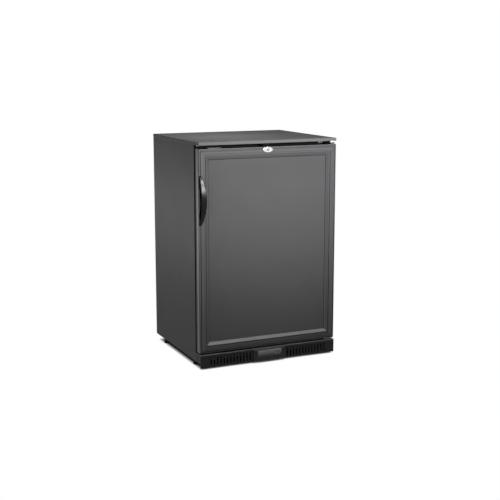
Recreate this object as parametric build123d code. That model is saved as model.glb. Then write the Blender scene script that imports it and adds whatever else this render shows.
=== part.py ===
from build123d import *
import os
from math import radians, sin

# A single-door under counter fridge. The unit is the millimetre, +Z is up, -Y is the front and +X is
# the right-hand side as seen from the front. X = 0 is the middle of the width and Z = 0 is the floor.
# Most places are given as depths behind the door's face, which is depth 0; further back is larger.

# ---------------------------------------------------------------- overall sizes
cabinet_width = 600.0
cabinet_height = 900.0  # floor to the worktop's upper face
cabinet_depth = 520.0  # door's face to the rearmost screw heads
handle_reach = 27.0  # how far the handle stands out from the door's face
sheet = 1.0  # steel and liner sheet
press_gap = 0.05  # radial clearance of shafts, screws and pins in their holes
rest_gap = 0.3  # clearance between pieces that move past each other
cut_over = 1.0  # how far a cutting shape runs past the face it cuts

# ---------------------------------------------------------------- cabinet
worktop_thickness = 12.0
worktop_proud = 1.0  # the worktop's edge stands this far in front of the door
case_clearance = 23.0  # floor to the underside of the cabinet
side_wall = 40.0  # outer face of the side panel to the cavity
roof_wall = 57.0  # worktop's upper face to the cavity
back_wall = 46.0
floor_wall = 40.0
duct_height = 47.0  # air duct under the cavity, behind the plinth grille
bay_depth = 184.0  # machine bay at the lower rear
bay_height = 267.0
bend_radius = 1.5
pan_sheet = 1.5
pan_flange = 25.0
rear_flange = 24.0
screw_head_height = 1.5
screw_head_radius = 4.0
screw_radius = 2.0
screw_length = 9.0
worktop_screw_depth = 28.0
worktop_screw_inset = 7.0
rear_screw_inset = 30.0

# ---------------------------------------------------------------- door
door_thickness = 36.0
seal_gap = 13.0  # door's back to the cabinet's front
door_top_gap = 13.0
door_bottom_gap = 6.0
frame_width = 42.0  # visible width of a stile or rail
frame_flat = 28.0
frame_web = 30.0
bevel_depth = 8.5
frame_lip = 1.5
frame_round = 5.0
inner_skin = 2.0
seal_inset = 12.0
seal_width = 22.0
seal_base = 3.0
seal_narrowing = 3.0
seal_barb_width = 3.0
seal_barb_depth = 5.0
groove_gap = 0.2
magnet_width = 9.0
magnet_thickness = 3.0
magnet_gap = 0.2
magnet_cover = 1.5
cap_plate_length = 58.0  # cover plate on top of the door
cap_plate_width = 24.0
cap_plate_thickness = 2.5
cap_plate_inset = 40.0

# ---------------------------------------------------------------- handle
handle_length = 195.0
handle_drop = 101.0  # door's top to the handle's top
handle_inset = 1.5
handle_mid_width = 22.4
handle_tip_width = 8.0
handle_tip_thickness = 3.0
finger_gap_length = 99.0
finger_gap_depth = 19.0
handle_rounding = 2.2
handle_screw_offset = 68.0
handle_screw_reach = 7.0
handle_screw_sink = 5.0

# ---------------------------------------------------------------- hinges
hinge_inset = 12.0  # pin axis to the door's side
hinge_depth = 24.0  # pin axis to the door's face
hinge_plate_width = 38.0
hinge_plate_thickness = 3.0
hinge_plate_margin = 12.0
hinge_leg_width = 58.0
hinge_pin_radius = 4.0
hinge_washer = 1.2
bush_wall = 3.0
bush_length = 20.0
closer_length = 44.0
lower_leg_height = 32.0
screw_margin = 6.0
hinge_screw_pitch = 10.5
top_hinge_gap = 2.0

# ---------------------------------------------------------------- lock
lock_offset = -7.0  # lock axis to the middle of the door
lock_drop = 11.6  # lock axis to the top of the door
lock_plate_width = 42.0
lock_plate_height = 21.0
lock_plate_thickness = 3.0
lock_plate_rounding = 1.8
barrel_radius = 6.0
lock_tube_wall = 2.5
lock_tube_length = 21.0
barrel_proud = 0.8
key_slot_width = 1.6
key_slot_height = 7.5
key_slot_depth = 6.0
cam_length = 20.0
cam_width = 11.0
cam_thickness = 2.5
cam_room = 1.0
keeper_thickness = 2.0
keeper_drop = 6.0

# ---------------------------------------------------------------- plinth grille and controls
plinth_clearance = 6.0
plinth_height = 54.0
plinth_proud = 3.0
plinth_wall = 2.5
plinth_return = 22.0
plinth_side_bottom = 23.0
plinth_rounding = 2.0
slot_pitch = 14.2
slot_width = 6.0
slot_height = 37.0
slot_bottom = 7.0  # plinth's lower edge to the slots
first_slot_inset = 45.5
slot_room = 10.0  # control housing to the nearest slot's axis, at least
housing_width = 142.0
housing_proud = 8.0
housing_chamfer = 4.0
housing_back = 24.0
housing_tongue_margin = 12.0
window_width = 104.0
window_height = 30.0
window_drop = 5.0
window_thickness = 1.4
window_gap = 0.15
pocket_depth = 7.0
pocket_rim = 1.5
board_thickness = 1.6
display_width = 42.0
display_height = 16.0
display_offset = -22.0
button_width = 8.0
button_height = 5.0
button_pitch_x = 12.0
button_pitch_z = 9.0
button_offset = 34.0
button_proud = 1.0
button_length = 5.2
button_travel = 0.8

# ---------------------------------------------------------------- feet
foot_radius = 15.0
foot_base_height = 7.0
foot_collar_radius = 12.5
foot_collar_height = 20.0
foot_stud_radius = 5.0
foot_stud_top = 45.0
foot_inset = 20.0
front_foot_depth = 88.0
foot_nut_radius = 9.0
foot_nut_height = 10.0

# ---------------------------------------------------------------- inside the cavity
duct_panel_depth = 65.0
duct_panel_sheet = 1.2
duct_panel_side_gap = 10.0
duct_panel_top_gap = 8.0
intake_count = 9
intake_pitch = 14.0
intake_width = 260.0
intake_height = 6.0
intake_bottom = 60.0
fan_drop = 123.0  # cavity's top to the evaporator fan's axis
fan_radius = 58.0
fan_opening_radius = 62.0
hub_radius = 18.0
blade_count = 5
blade_thickness = 1.6
blade_pitch_angle = 35.0
blade_root_radius = 11.0
blade_margin = 2.0
shaft_in_hub = 12.0
fan_depth = 20.0
fan_to_panel = 5.0
fan_motor_radius = 22.0
fan_motor_length = 24.0
fan_shaft_radius = 3.0
fan_motor_gap = 1.0
fan_arm_width = 8.0
fan_arm_sheet = 3.0
fan_arm_root = 3.0
fan_arm_clearance = 3.0
guard_wire = 1.3
guard_ring_radii = (20.0, 34.0, 48.0, 63.0)
guard_spokes = 6
guard_turn = 30.0
coil_back_gap = 34.0  # cavity's back to the middle plane of the evaporator and the compressor
coil_rows = 4
coil_pitch = 20.0
coil_drop = 135.0  # fan axis to the lowest tube
coil_side_room = 40.0
coil_tube_radius = 4.0
coil_end_room = 4.0
return_bend_room = 0.5
coil_fin_end_room = 17.0
coil_fin_pitch = 12.0
coil_fin_thickness = 0.8
coil_fin_depth = 40.0
coil_fin_margin = 10.0
coil_end_plate_gap = 8.4
drip_tray_height = 14.0
drip_tray_wall = 1.5
drip_tray_gap = 4.0
drip_tray_overhang = 6.0
drain_hose_radius = 6.0
drain_hose_bore = 4.5
drain_hose_offset = 20.0
drain_hose_lift = 16.0  # compressor's top to the hose's end
sensor_radius = 3.0
sensor_length = 40.0
sensor_offset = 150.0
lamp_side_gap = 60.0
lamp_depth = 18.0
lamp_height = 12.0
lamp_inset = 8.0
lamp_cover_depth = 14.0
lamp_cover_height = 3.0
upright_width = 16.0
upright_thickness = 5.0
upright_slot_width = 6.0
upright_slot_height = 10.0
upright_slot_pitch = 30.0
upright_bottom_gap = 30.0
step_upright_gap = 3.0
upright_top_gap = 40.0
front_upright_gap = 41.0
rear_upright_gap = 37.0
shelf_lift = 16.0  # step to the lower shelf's frame
shelf_spacing = 246.0
shelf_front_gap = 17.0
shelf_back_gap = 7.0
shelf_side_gap = 8.0
shelf_frame_radius = 3.0
shelf_wire_radius = 1.7
shelf_bar_radius = 2.5
shelf_wire_count = 21
shelf_bar_count = 3
shelf_weld = 0.5  # overlap of crossing wires
shelf_corner = 14.0
clip_reach = 12.0
clip_width = 12.0
clip_height = 8.0
clip_tongue = 3.0

# ---------------------------------------------------------------- machine bay
compressor_inset = 160.0  # side panel's outer face to the compressor's axis
compressor_radius = 70.0
compressor_bottom = 42.0
compressor_head_room = 80.0
compressor_wall = 4.0
compressor_crown = 30.0  # rounding of the shell's ends
seam_radius = 73.0
seam_height = 6.0
seam_level = 120.0
pump_foot_radius = 38.0
pump_radius = 44.0
pump_height = 96.0
pump_foot_height = 38.0
base_rail_thickness = 3.0
base_rail_half_width = 75.0
base_rail_half_depth = 56.0
grommet_radius = 9.0
grommet_inset = 14.0
mount_bolt_radius = 3.0
terminal_cover_width = 44.0
terminal_cover_height = 52.0
terminal_cover_reach = 14.0
drain_tray_half = 60.0
drain_tray_height = 28.0
drain_tray_wall = 2.0
shroud_inset = 204.0
shroud_sheet = 2.0
shroud_flange = 14.0
shroud_head_room = 28.0
shroud_front_gap = 18.0
shroud_back_gap = 8.0
cooling_fan_height = 150.0
cooling_fan_radius = 66.0
cooling_fan_opening = 71.0
cooling_fan_motor_radius = 30.0
cooling_fan_motor_length = 42.0
cooling_fan_gap = 7.0
cooling_fan_length = 24.0
condenser_inset = 173.0
condenser_half_width = 23.0
condenser_head_room = 30.0
condenser_pitch = 24.0
condenser_first_height = 72.0
condenser_front_room = 8.0
condenser_back_room = 12.0
condenser_bend_room = 17.5
condenser_fin_pitch = 6.0
condenser_fin_thickness = 0.8
condenser_fin_margin = 14.0
condenser_end_gap = 3.6
supply_box_inset = 76.0
supply_box_width = 76.0
supply_box_depth = 72.0
supply_box_height = 58.0
supply_box_back_gap = 16.0
gland_radius = 9.0
gland_bore = 4.0
gland_length = 10.0
cable_hole_radius = 12.0
drier_inset = 124.0
drier_front_gap = 14.0
drier_radius = 9.0
drier_bottom = 92.0
drier_length = 100.0
drier_neck = 10.0
pipe_radius = 3.0
suction_radius = 4.0
capillary_radius = 1.5
capillary_wall_gap = 16.0
suction_wall_gap = 25.0
capillary_head_room = 15.0
suction_level = 110.0
discharge_port_height = 150.0
discharge_offset = 20.0
inlet_offset = 12.0
pipe_bend = 9.0
suction_bend = 12.0
capillary_bend = 8.0
discharge_head_room = 24.0
pipe_hole_gap = 0.3
grille_slot_rows = 12
grille_slot_pitch = 18.0
grille_bridge = 30.0  # solid strip between two columns of slots
grille_slot_height = 6.0
grille_column_count = 4
grille_side_margin = 20.0

# ---------------------------------------------------------------- places worked out from the sizes
half_width = cabinet_width / 2
door_face_y = handle_reach - (cabinet_depth + handle_reach) / 2
front_d = door_thickness + seal_gap  # the cabinet's front
back_d = cabinet_depth - screw_head_height  # outer face of the back panel
flange_d = back_d - 2 * sheet  # inner face of the rear flanges
case_top = cabinet_height - worktop_thickness
duct_top = case_clearance + duct_height
bay_top = case_clearance + bay_height
bay_front_d = cabinet_depth - bay_depth
cavity_half = half_width - side_wall
cavity_top = cabinet_height - roof_wall
cavity_floor = duct_top + floor_wall
cavity_back_d = cabinet_depth - back_wall
step_front_d = bay_front_d - floor_wall
step_top = bay_top + floor_wall
plinth_top = plinth_clearance + plinth_height
door_top = case_top - door_top_gap
door_bottom = plinth_top + door_bottom_gap
door_height = door_top - door_bottom
door_middle = (door_top + door_bottom) / 2
pan_top = case_clearance + pan_sheet
duct_panel_d = cavity_back_d - duct_panel_depth
duct_panel_half = cavity_half - duct_panel_side_gap
duct_panel_top = cavity_top - duct_panel_top_gap
hinge_x = half_width - hinge_inset
lock_z = door_top - lock_drop
handle_bottom = door_top - handle_drop - handle_length
rear_foot_depth = cabinet_depth - front_foot_depth
fan_height = cavity_top - fan_drop
coil_depth = cavity_back_d - coil_back_gap
coil_first_height = fan_height - coil_drop
coil_half_length = duct_panel_half - coil_side_room
coil_fin_count = int(2 * (coil_half_length - coil_fin_end_room) / coil_fin_pitch) + 1
drip_tray_half_width = coil_half_length + drip_tray_overhang
lamp_width = 2 * (cavity_half - lamp_side_gap)
front_upright_depth = front_d + front_upright_gap
rear_upright_depth = duct_panel_d - rear_upright_gap
shelf_heights = (step_top + shelf_lift, step_top + shelf_lift + shelf_spacing)
shelf_front_depth = front_d + shelf_front_gap
shelf_back_depth = duct_panel_d - shelf_back_gap
compressor_top = bay_top - compressor_head_room
drain_hose_bottom = compressor_top + drain_hose_lift
shroud_top = bay_top - shroud_head_room
shroud_front_depth = bay_front_d + shroud_front_gap
shroud_back_depth = cabinet_depth - shroud_back_gap
cooling_fan_depth = (shroud_front_depth + shroud_back_depth) / 2
condenser_row_room = bay_top - condenser_head_room - condenser_fin_margin - condenser_first_height
condenser_rows = int(condenser_row_room / condenser_pitch) + 1
condenser_front_depth = shroud_front_depth + condenser_front_room
condenser_back_depth = shroud_back_depth - condenser_back_room
condenser_fin_room = condenser_back_depth - condenser_front_depth - 2 * condenser_bend_room
condenser_fin_count = int(condenser_fin_room / condenser_fin_pitch) + 1
supply_box_x = half_width - supply_box_inset
compressor_x = compressor_inset - half_width
drain_hose_x = compressor_x + drain_hose_offset
shroud_x = half_width - shroud_inset
condenser_x = half_width - condenser_inset
drier_x = half_width - drier_inset
supply_box_front = cabinet_depth - supply_box_back_gap - supply_box_depth
drier_depth = bay_front_d + drier_front_gap
capillary_x = -(cavity_half - capillary_wall_gap)
suction_x = -(cavity_half - suction_wall_gap)
capillary_level = bay_top - capillary_head_room
discharge_level = bay_top - discharge_head_room

pieces = {}


def block(x0, x1, d0, d1, z0, z1):
    """A box between two X, two depths behind the door's face and two heights."""
    middle = Pos((x0 + x1) / 2, door_face_y + (d0 + d1) / 2, (z0 + z1) / 2)
    return middle * Box(x1 - x0, d1 - d0, z1 - z0)


def rod_x(x0, x1, d, z, radius):
    return Pos((x0 + x1) / 2, door_face_y + d, z) * Rot(0, 90, 0) * Cylinder(radius, x1 - x0)


def rod_y(x, d0, d1, z, radius):
    return Pos(x, door_face_y + (d0 + d1) / 2, z) * Rot(90, 0, 0) * Cylinder(radius, d1 - d0)


def rod_z(x, d, z0, z1, radius):
    return Pos(x, door_face_y + d, (z0 + z1) / 2) * Cylinder(radius, z1 - z0)


def tube(points, bend_radii, radius):
    """A round tube along straight runs joined by arcs; each point is (x, depth, z)."""
    route = [(x, door_face_y + d, z) for x, d, z in points]
    path = FilletPolyline(*route, radius=bend_radii)
    start = Plane(origin=path @ 0, z_dir=path % 0)
    return sweep(start * Circle(radius), path=path)


def group(shapes):
    """The separate solids of several shapes, kept in one node."""
    return Compound(children=[solid for shape in shapes for solid in shape.solids()])


def mirrored_pair(shape):
    return [shape, shape.mirror(Plane.YZ)]


# ---------------------------------------------------------------- screws
def screw(x, d_head, z, head_sign, length=screw_length):
    """A pan-head screw along Y; head_sign is -1 when the head faces the front, 1 when the rear."""
    head = rod_y(x, *sorted((d_head, d_head + head_sign * screw_head_height)), z, screw_head_radius)
    shank = rod_y(x, *sorted((d_head, d_head - head_sign * length)), z, screw_radius)
    return head + shank


def screw_hole(x, d_head, z, head_sign, length=screw_length):
    end = d_head - head_sign * (length + rest_gap)
    return rod_y(x, *sorted((d_head + head_sign * rest_gap, end)), z, screw_radius + press_gap)


rear_screw_x = half_width - sheet - rear_flange / 2
rear_screw_heights = [
    case_clearance + pan_flange + rear_screw_inset,
    bay_top - rear_screw_inset,
    bay_top + 2 * rear_screw_inset,
    (bay_top + case_top) / 2,
    case_top - rear_screw_inset,
]
rear_screw_places = [(side * rear_screw_x, back_d, z, 1) for side in (-1, 1) for z in rear_screw_heights]

top_plate_bottom = door_top + top_hinge_gap
top_plate_top = top_plate_bottom + hinge_plate_thickness
bottom_plate_top = door_bottom - rest_gap - hinge_washer
bottom_plate_bottom = bottom_plate_top - hinge_plate_thickness
plinth_inner_x = half_width - plinth_wall
leg_right = plinth_inner_x - rest_gap
leg_left = leg_right - hinge_leg_width
leg_front_d = front_d - hinge_plate_thickness
top_screw_z = (top_plate_bottom + case_top) / 2
bottom_screw_z = bottom_plate_bottom - lower_leg_height / 2
top_screw_xs = [leg_left + screw_margin, leg_left + screw_margin + hinge_screw_pitch]
bottom_screw_xs = [leg_right - screw_margin - hinge_screw_pitch, leg_right - screw_margin]
hinge_screw_places = [(x, leg_front_d, top_screw_z, -1) for x in top_screw_xs]
hinge_screw_places += [(x, leg_front_d, bottom_screw_z, -1) for x in bottom_screw_xs]


def drilled(shape, places):
    """The shape with a clearance hole for each listed screw that could pass through it."""
    for place in places:
        shape = shape - screw_hole(*place)
    return shape


# ---------------------------------------------------------------- cabinet shell
def side_panel():
    side = block(-half_width, -half_width + sheet, front_d, back_d, case_clearance, case_top)
    front = block(-half_width, -cavity_half, front_d, front_d + sheet, case_clearance, case_top)
    rear_edge = -half_width + sheet + rear_flange
    rear = block(-half_width, rear_edge, flange_d, flange_d + sheet, case_clearance, case_top)
    panel = side + front + rear
    corner = panel.edges().filter_by(Axis.Z).sort_by(lambda e: e.center().X + e.center().Y)[0]
    return fillet(corner, bend_radius)


left_panel = side_panel()
right_panel = left_panel.mirror(Plane.YZ)
pieces["left_side_panel"] = drilled(left_panel, rear_screw_places)
pieces["right_side_panel"] = drilled(right_panel, rear_screw_places + hinge_screw_places)

front_top_rail = block(-cavity_half, cavity_half, front_d, front_d + sheet, cavity_top, case_top)
front_bottom_rail = block(
    -cavity_half, cavity_half, front_d, front_d + sheet, duct_top - sheet, cavity_floor
)
pieces["front_rails"] = group([drilled(front_top_rail, hinge_screw_places), front_bottom_rail])

inner_x = half_width - sheet
worktop_body = block(-half_width, half_width, -worktop_proud, cabinet_depth, case_top, cabinet_height)
front_edges = worktop_body.edges().group_by(Axis.Y)[0]
rounded_edges = front_edges + worktop_body.edges().filter_by(Axis.Y).group_by(Axis.Z)[-1]
worktop_body = fillet(rounded_edges, bend_radius)
worktop_hollow = block(
    -inner_x, inner_x, -worktop_proud + sheet, cabinet_depth - sheet, case_top + sheet, cabinet_height - sheet
)
worktop_mouth = block(-inner_x, inner_x, front_d + sheet, cabinet_depth - sheet, case_top, case_top + sheet)
worktop_screw_x = half_width - worktop_screw_inset
worktop = worktop_body - worktop_hollow - worktop_mouth
for side in (-1, 1):
    worktop -= rod_z(
        side * worktop_screw_x, worktop_screw_depth, case_top, case_top + sheet, screw_radius + press_gap
    )
pieces["worktop"] = worktop
fasteners = [screw(*place) for place in rear_screw_places + hinge_screw_places]
worktop_screw_low = case_top - 2 * screw_head_height
worktop_screw_high = case_top + screw_length / 2
for side in (-1, 1):
    x = side * worktop_screw_x
    worktop_screw = rod_z(x, worktop_screw_depth, worktop_screw_low, case_top, screw_head_radius)
    worktop_screw += rod_z(x, worktop_screw_depth, case_top, worktop_screw_high, screw_radius)
    fasteners.append(worktop_screw)

pieces["back_panel"] = drilled(
    block(-inner_x, inner_x, back_d - sheet, back_d, bay_top - sheet, case_top), rear_screw_places
)

pan = block(-inner_x, inner_x, front_d + sheet, flange_d, case_clearance, pan_top)
for side_block in mirrored_pair(
    block(-inner_x, -inner_x + pan_sheet, front_d + sheet, flange_d, pan_top, case_clearance + pan_flange)
):
    pan += side_block
foot_places = {
    "foot_front_left": (-half_width + foot_inset, front_foot_depth),
    "foot_front_right": (half_width - foot_inset, front_foot_depth),
    "foot_rear_left": (-half_width + foot_inset, rear_foot_depth),
    "foot_rear_right": (half_width - foot_inset, rear_foot_depth),
}
for x, d in foot_places.values():
    pan -= rod_z(x, d, case_clearance, pan_top, foot_stud_radius + rest_gap)
pieces["base_pan"] = pan

step_hole_ends = (bay_top - 2 * sheet, step_top + 2 * sheet)
suction_hole = rod_z(suction_x, coil_depth, *step_hole_ends, suction_radius + pipe_hole_gap)
capillary_hole = rod_z(capillary_x, coil_depth, *step_hole_ends, capillary_radius + pipe_hole_gap)
drain_hole = rod_z(drain_hose_x, coil_depth, *step_hole_ends, drain_hose_radius + pipe_hole_gap)
step_holes = [suction_hole, capillary_hole, drain_hole]

skin = block(-inner_x, inner_x, front_d + sheet, bay_front_d, duct_top - sheet, duct_top)
skin += block(-inner_x, inner_x, bay_front_d - sheet, bay_front_d, duct_top - sheet, bay_top)
skin += block(-inner_x, inner_x, bay_front_d - sheet, flange_d, bay_top - sheet, bay_top)
for hole in step_holes:
    skin -= hole
pieces["machine_bay_skin"] = skin

liner_outer = block(
    -cavity_half - sheet, cavity_half + sheet, front_d + sheet, cavity_back_d + sheet,
    cavity_floor - sheet, cavity_top + sheet,
) - block(
    -cavity_half - sheet, cavity_half + sheet, step_front_d + sheet, cavity_back_d + sheet,
    cavity_floor - sheet, step_top - sheet,
)
liner_inner = block(
    -cavity_half, cavity_half, front_d + sheet, cavity_back_d, cavity_floor, cavity_top
) - block(-cavity_half, cavity_half, step_front_d, cavity_back_d, cavity_floor, step_top)
liner = liner_outer - liner_inner
foam = block(-inner_x, inner_x, front_d + sheet, flange_d, duct_top, cabinet_height - sheet)
foam -= liner_outer
foam -= block(-inner_x, inner_x, bay_front_d - sheet, flange_d, duct_top, bay_top)
for hole in step_holes:
    liner -= hole
    foam -= hole
pieces["inner_liner"] = liner
pieces["foam_insulation"] = drilled(foam, rear_screw_places + hinge_screw_places)

# ---------------------------------------------------------------- rear grille
grille = block(-inner_x, inner_x, back_d - sheet, back_d, case_clearance, bay_top - sheet)
grille_middle = (case_clearance + bay_top) / 2
first_row = grille_middle - (grille_slot_rows - 1) * grille_slot_pitch / 2
cable_hole_z = pan_top + supply_box_height / 2
grille_column_pitch = 2 * (half_width - grille_side_margin) / grille_column_count
grille_slot_width = grille_column_pitch - grille_bridge
slot_cutters = []
for number in range(grille_column_count):
    column = (number - (grille_column_count - 1) / 2) * grille_column_pitch
    for row in range(grille_slot_rows):
        z = first_row + row * grille_slot_pitch
        beside_cable = abs(column - supply_box_x) < grille_slot_width
        if not (beside_cable and abs(z - cable_hole_z) < 2 * cable_hole_radius):
            half = grille_slot_width / 2 - grille_slot_height / 2
            slot_cutters.append(
                block(column - half, column + half, back_d - 2 * sheet, back_d + sheet,
                      z - grille_slot_height / 2, z + grille_slot_height / 2)
            )
grille -= slot_cutters
grille -= rod_y(supply_box_x, back_d - 2 * sheet, back_d + sheet, cable_hole_z, cable_hole_radius)
pieces["rear_grille"] = drilled(grille, rear_screw_places)


# ---------------------------------------------------------------- door frame
def frame_bar(length):
    """The frame's section, from its outer edge (x = 0) and front (y = 0), run along Z."""
    outline = make_face(
        [
            Line((0, door_thickness), (0, frame_round)),
            RadiusArc((0, frame_round), (frame_round, 0), -frame_round),
            Line((frame_round, 0), (frame_flat, 0)),
            Line((frame_flat, 0), (frame_width, bevel_depth)),
            Line((frame_width, bevel_depth), (frame_width, bevel_depth + frame_lip)),
            Line((frame_width, bevel_depth + frame_lip), (frame_web, bevel_depth + frame_lip)),
            Line((frame_web, bevel_depth + frame_lip), (frame_web, door_thickness)),
            Line((frame_web, door_thickness), (0, door_thickness)),
        ]
    )
    groove_depth = seal_barb_depth + groove_gap
    groove_middle = Pos(seal_inset + seal_width / 2, door_thickness - groove_depth / 2)
    groove = groove_middle * Rectangle(seal_barb_width + 2 * groove_gap, groove_depth)
    return Pos(0, 0, -length / 2) * extrude(outline - groove, length)


def mitre(points):
    """A block through the whole depth whose outline in X and Z cuts the frame's corners at 45 degrees."""
    outline = make_face(Polyline(*[(x, z) for x, z in points], close=True))
    return extrude(Plane.XZ * outline, cabinet_depth, both=True)


left, right = -half_width, half_width
stile_cut = mitre([
    (left, door_bottom), (left + frame_width, door_bottom + frame_width),
    (left + frame_width, door_top - frame_width), (left, door_top),
])
rail_cut = mitre([
    (left, door_top), (left + frame_width, door_top - frame_width),
    (right - frame_width, door_top - frame_width), (right, door_top),
])
stile = Pos(left, door_face_y, door_middle) * frame_bar(door_height) & stile_cut
top_rail = Pos(0, door_face_y, door_top) * Rot(0, 90, 0) * frame_bar(cabinet_width) & rail_cut
bottom_rail = top_rail.mirror(Plane(origin=(0, 0, door_middle), z_dir=(0, 0, 1)))

# the lock's bore and the pocket that its cam swings in
lock_x = lock_offset
tube_radius = barrel_radius + press_gap + lock_tube_wall
cam_front_d = lock_tube_length + rest_gap
cam_back_d = cam_front_d + cam_thickness
top_rail -= rod_y(lock_x, -cut_over, lock_tube_length, lock_z, tube_radius + press_gap)
top_rail -= block(
    lock_x - tube_radius - cam_room, lock_x + cam_length + 2 * cam_room,
    lock_tube_length, cam_back_d + cam_room, lock_z - cam_width / 2 - 2 * cam_room, door_top,
)

# bores for the hinge bush at the top and the closer at the bottom
bush_radius = hinge_pin_radius + press_gap + bush_wall
bore_radius = bush_radius + press_gap
top_bore = rod_z(hinge_x, hinge_depth, door_top - bush_length, door_top, bore_radius)
bottom_bore = rod_z(hinge_x, hinge_depth, door_bottom, door_bottom + closer_length, bore_radius)

# counterbored holes for the two handle screws, from the back of the left stile
handle_middle = handle_bottom + handle_length / 2
handle_left = left + handle_inset
handle_screw_x = handle_left + (handle_tip_width + handle_mid_width) / 2 - screw_head_radius
handle_screw_heights = (handle_middle - handle_screw_offset, handle_middle + handle_screw_offset)
screw_seat_d = door_thickness - handle_screw_sink
left_stile = stile
for z in handle_screw_heights:
    left_stile -= rod_y(handle_screw_x, screw_seat_d, door_thickness, z, screw_head_radius + rest_gap)
    left_stile -= rod_y(handle_screw_x, 0, screw_seat_d, z, screw_radius + press_gap)

pieces["door_stile_left"] = left_stile
pieces["door_stile_right"] = stile.mirror(Plane.YZ) - top_bore - bottom_bore
pieces["door_rail_top"] = top_rail - top_bore
pieces["door_rail_bottom"] = bottom_rail - bottom_bore

panel_half = half_width - frame_web
panel_front_d = bevel_depth + frame_lip
core_top = door_top - frame_web
core_bottom = door_bottom + frame_web
pieces["door_panel"] = block(
    -panel_half, panel_half, panel_front_d, panel_front_d + sheet, core_bottom, core_top
)
pieces["door_core"] = block(
    -panel_half, panel_half, panel_front_d + sheet, door_thickness - inner_skin, core_bottom, core_top
)
pieces["door_inner_skin"] = block(
    -panel_half, panel_half, door_thickness - inner_skin, door_thickness, core_bottom, core_top
)


def door_ring(outer_inset, width, d0, d1):
    """A rectangular ring set in from the door's outline."""
    inner = outer_inset + width
    outside = block(
        left + outer_inset, right - outer_inset, d0, d1, door_bottom + outer_inset, door_top - outer_inset
    )
    return outside - block(left + inner, right - inner, d0, d1, door_bottom + inner, door_top - inner)


seal_front_d = door_thickness
seal_back_d = front_d - rest_gap
bellows_inset = seal_inset + seal_narrowing
bellows_width = seal_width - 2 * seal_narrowing
magnet_inset = seal_inset + (seal_width - magnet_width) / 2
magnet_back_d = seal_back_d - magnet_cover
magnet_front_d = magnet_back_d - magnet_thickness
barb_inset = seal_inset + (seal_width - seal_barb_width) / 2
seal = door_ring(seal_inset, seal_width, seal_front_d, seal_front_d + seal_base)
seal += door_ring(bellows_inset, bellows_width, seal_front_d + seal_base, seal_back_d)
seal += door_ring(barb_inset, seal_barb_width, door_thickness - seal_barb_depth, seal_front_d)
seal -= door_ring(
    magnet_inset - magnet_gap, magnet_width + 2 * magnet_gap,
    magnet_front_d - magnet_gap, magnet_back_d + magnet_gap,
)
magnet_x = half_width - magnet_inset - magnet_width / 2
magnet_corner = magnet_width * 2
magnet_low = door_bottom + magnet_inset
magnet_high = door_top - magnet_inset
magnet_side = block(
    -magnet_x - magnet_width / 2, -magnet_x + magnet_width / 2, magnet_front_d, magnet_back_d,
    magnet_low + magnet_corner, magnet_high - magnet_corner,
)
magnet_end = block(
    -magnet_x + magnet_corner, magnet_x - magnet_corner, magnet_front_d, magnet_back_d,
    magnet_high - magnet_width, magnet_high,
)
magnet_foot = magnet_end.mirror(Plane(origin=(0, 0, door_middle), z_dir=(0, 0, 1)))
pieces["door_seal"] = group([seal, magnet_end, magnet_foot] + mirrored_pair(magnet_side))

cap_left = left + cap_plate_inset
cap_front_d = (door_thickness - cap_plate_width) / 2
cap_plate = block(
    cap_left, cap_left + cap_plate_length, cap_front_d, cap_front_d + cap_plate_width,
    door_top, door_top + cap_plate_thickness,
)
pieces["hinge_cover_plate"] = fillet(cap_plate.edges().filter_by(Axis.Z), frame_round)


# ---------------------------------------------------------------- handle
def handle_shape():
    half = handle_length / 2
    half_gap = finger_gap_length / 2
    outer = ThreePointArc((-handle_tip_thickness, half), (-handle_reach, 0), (-handle_tip_thickness, -half))
    inner = ThreePointArc((0, -half_gap), (-finger_gap_depth, 0), (0, half_gap))
    bow = make_face(
        [
            Line((0, half), (-handle_tip_thickness, half)),
            outer,
            Line((-handle_tip_thickness, -half), (0, -half)),
            Line((0, -half), (0, -half_gap)),
            inner,
            Line((0, half_gap), (0, half)),
        ]
    )
    side = extrude(Plane.YZ * bow, handle_mid_width)
    leaf_edge = ThreePointArc((handle_tip_width, half), (handle_mid_width, 0), (handle_tip_width, -half))
    leaf = make_face([Line((0, -half), (0, half)), Line((0, half), (handle_tip_width, half)), leaf_edge,
                      Line((handle_tip_width, -half), (0, -half))])
    front = extrude(Plane.XZ * leaf, handle_reach)
    shape = side & front
    front_edges = shape.edges().filter_by(lambda e: e.length > handle_length - cut_over)
    return Pos(handle_left, door_face_y, handle_middle) * fillet(front_edges, handle_rounding)


handle = handle_shape()
for z in handle_screw_heights:
    handle -= rod_y(handle_screw_x, -handle_screw_reach, 0, z, screw_radius + press_gap)
pieces["handle"] = handle
pieces["handle_screws"] = group(
    rod_y(handle_screw_x, screw_seat_d, screw_seat_d + 2 * screw_head_height, z, screw_head_radius)
    + rod_y(handle_screw_x, -handle_screw_reach, screw_seat_d, z, screw_radius)
    for z in handle_screw_heights
)

# ---------------------------------------------------------------- hinges
plate_right = half_width - rest_gap
plate_left = plate_right - hinge_plate_width
plate_front_d = hinge_plate_margin
top_hinge = block(plate_left, plate_right, plate_front_d, front_d, top_plate_bottom, top_plate_top)
top_hinge += block(leg_left, leg_right, leg_front_d, front_d, top_plate_bottom, case_top - rest_gap)
pin_hole_radius = hinge_pin_radius + press_gap
top_hinge -= rod_z(hinge_x, hinge_depth, top_plate_bottom, top_plate_top, pin_hole_radius)
top_pin = rod_z(
    hinge_x, hinge_depth, door_top - bush_length + rest_gap, top_plate_top, hinge_pin_radius
) + rod_z(hinge_x, hinge_depth, top_plate_top, top_plate_top + 2 * screw_head_height, bush_radius)

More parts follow.
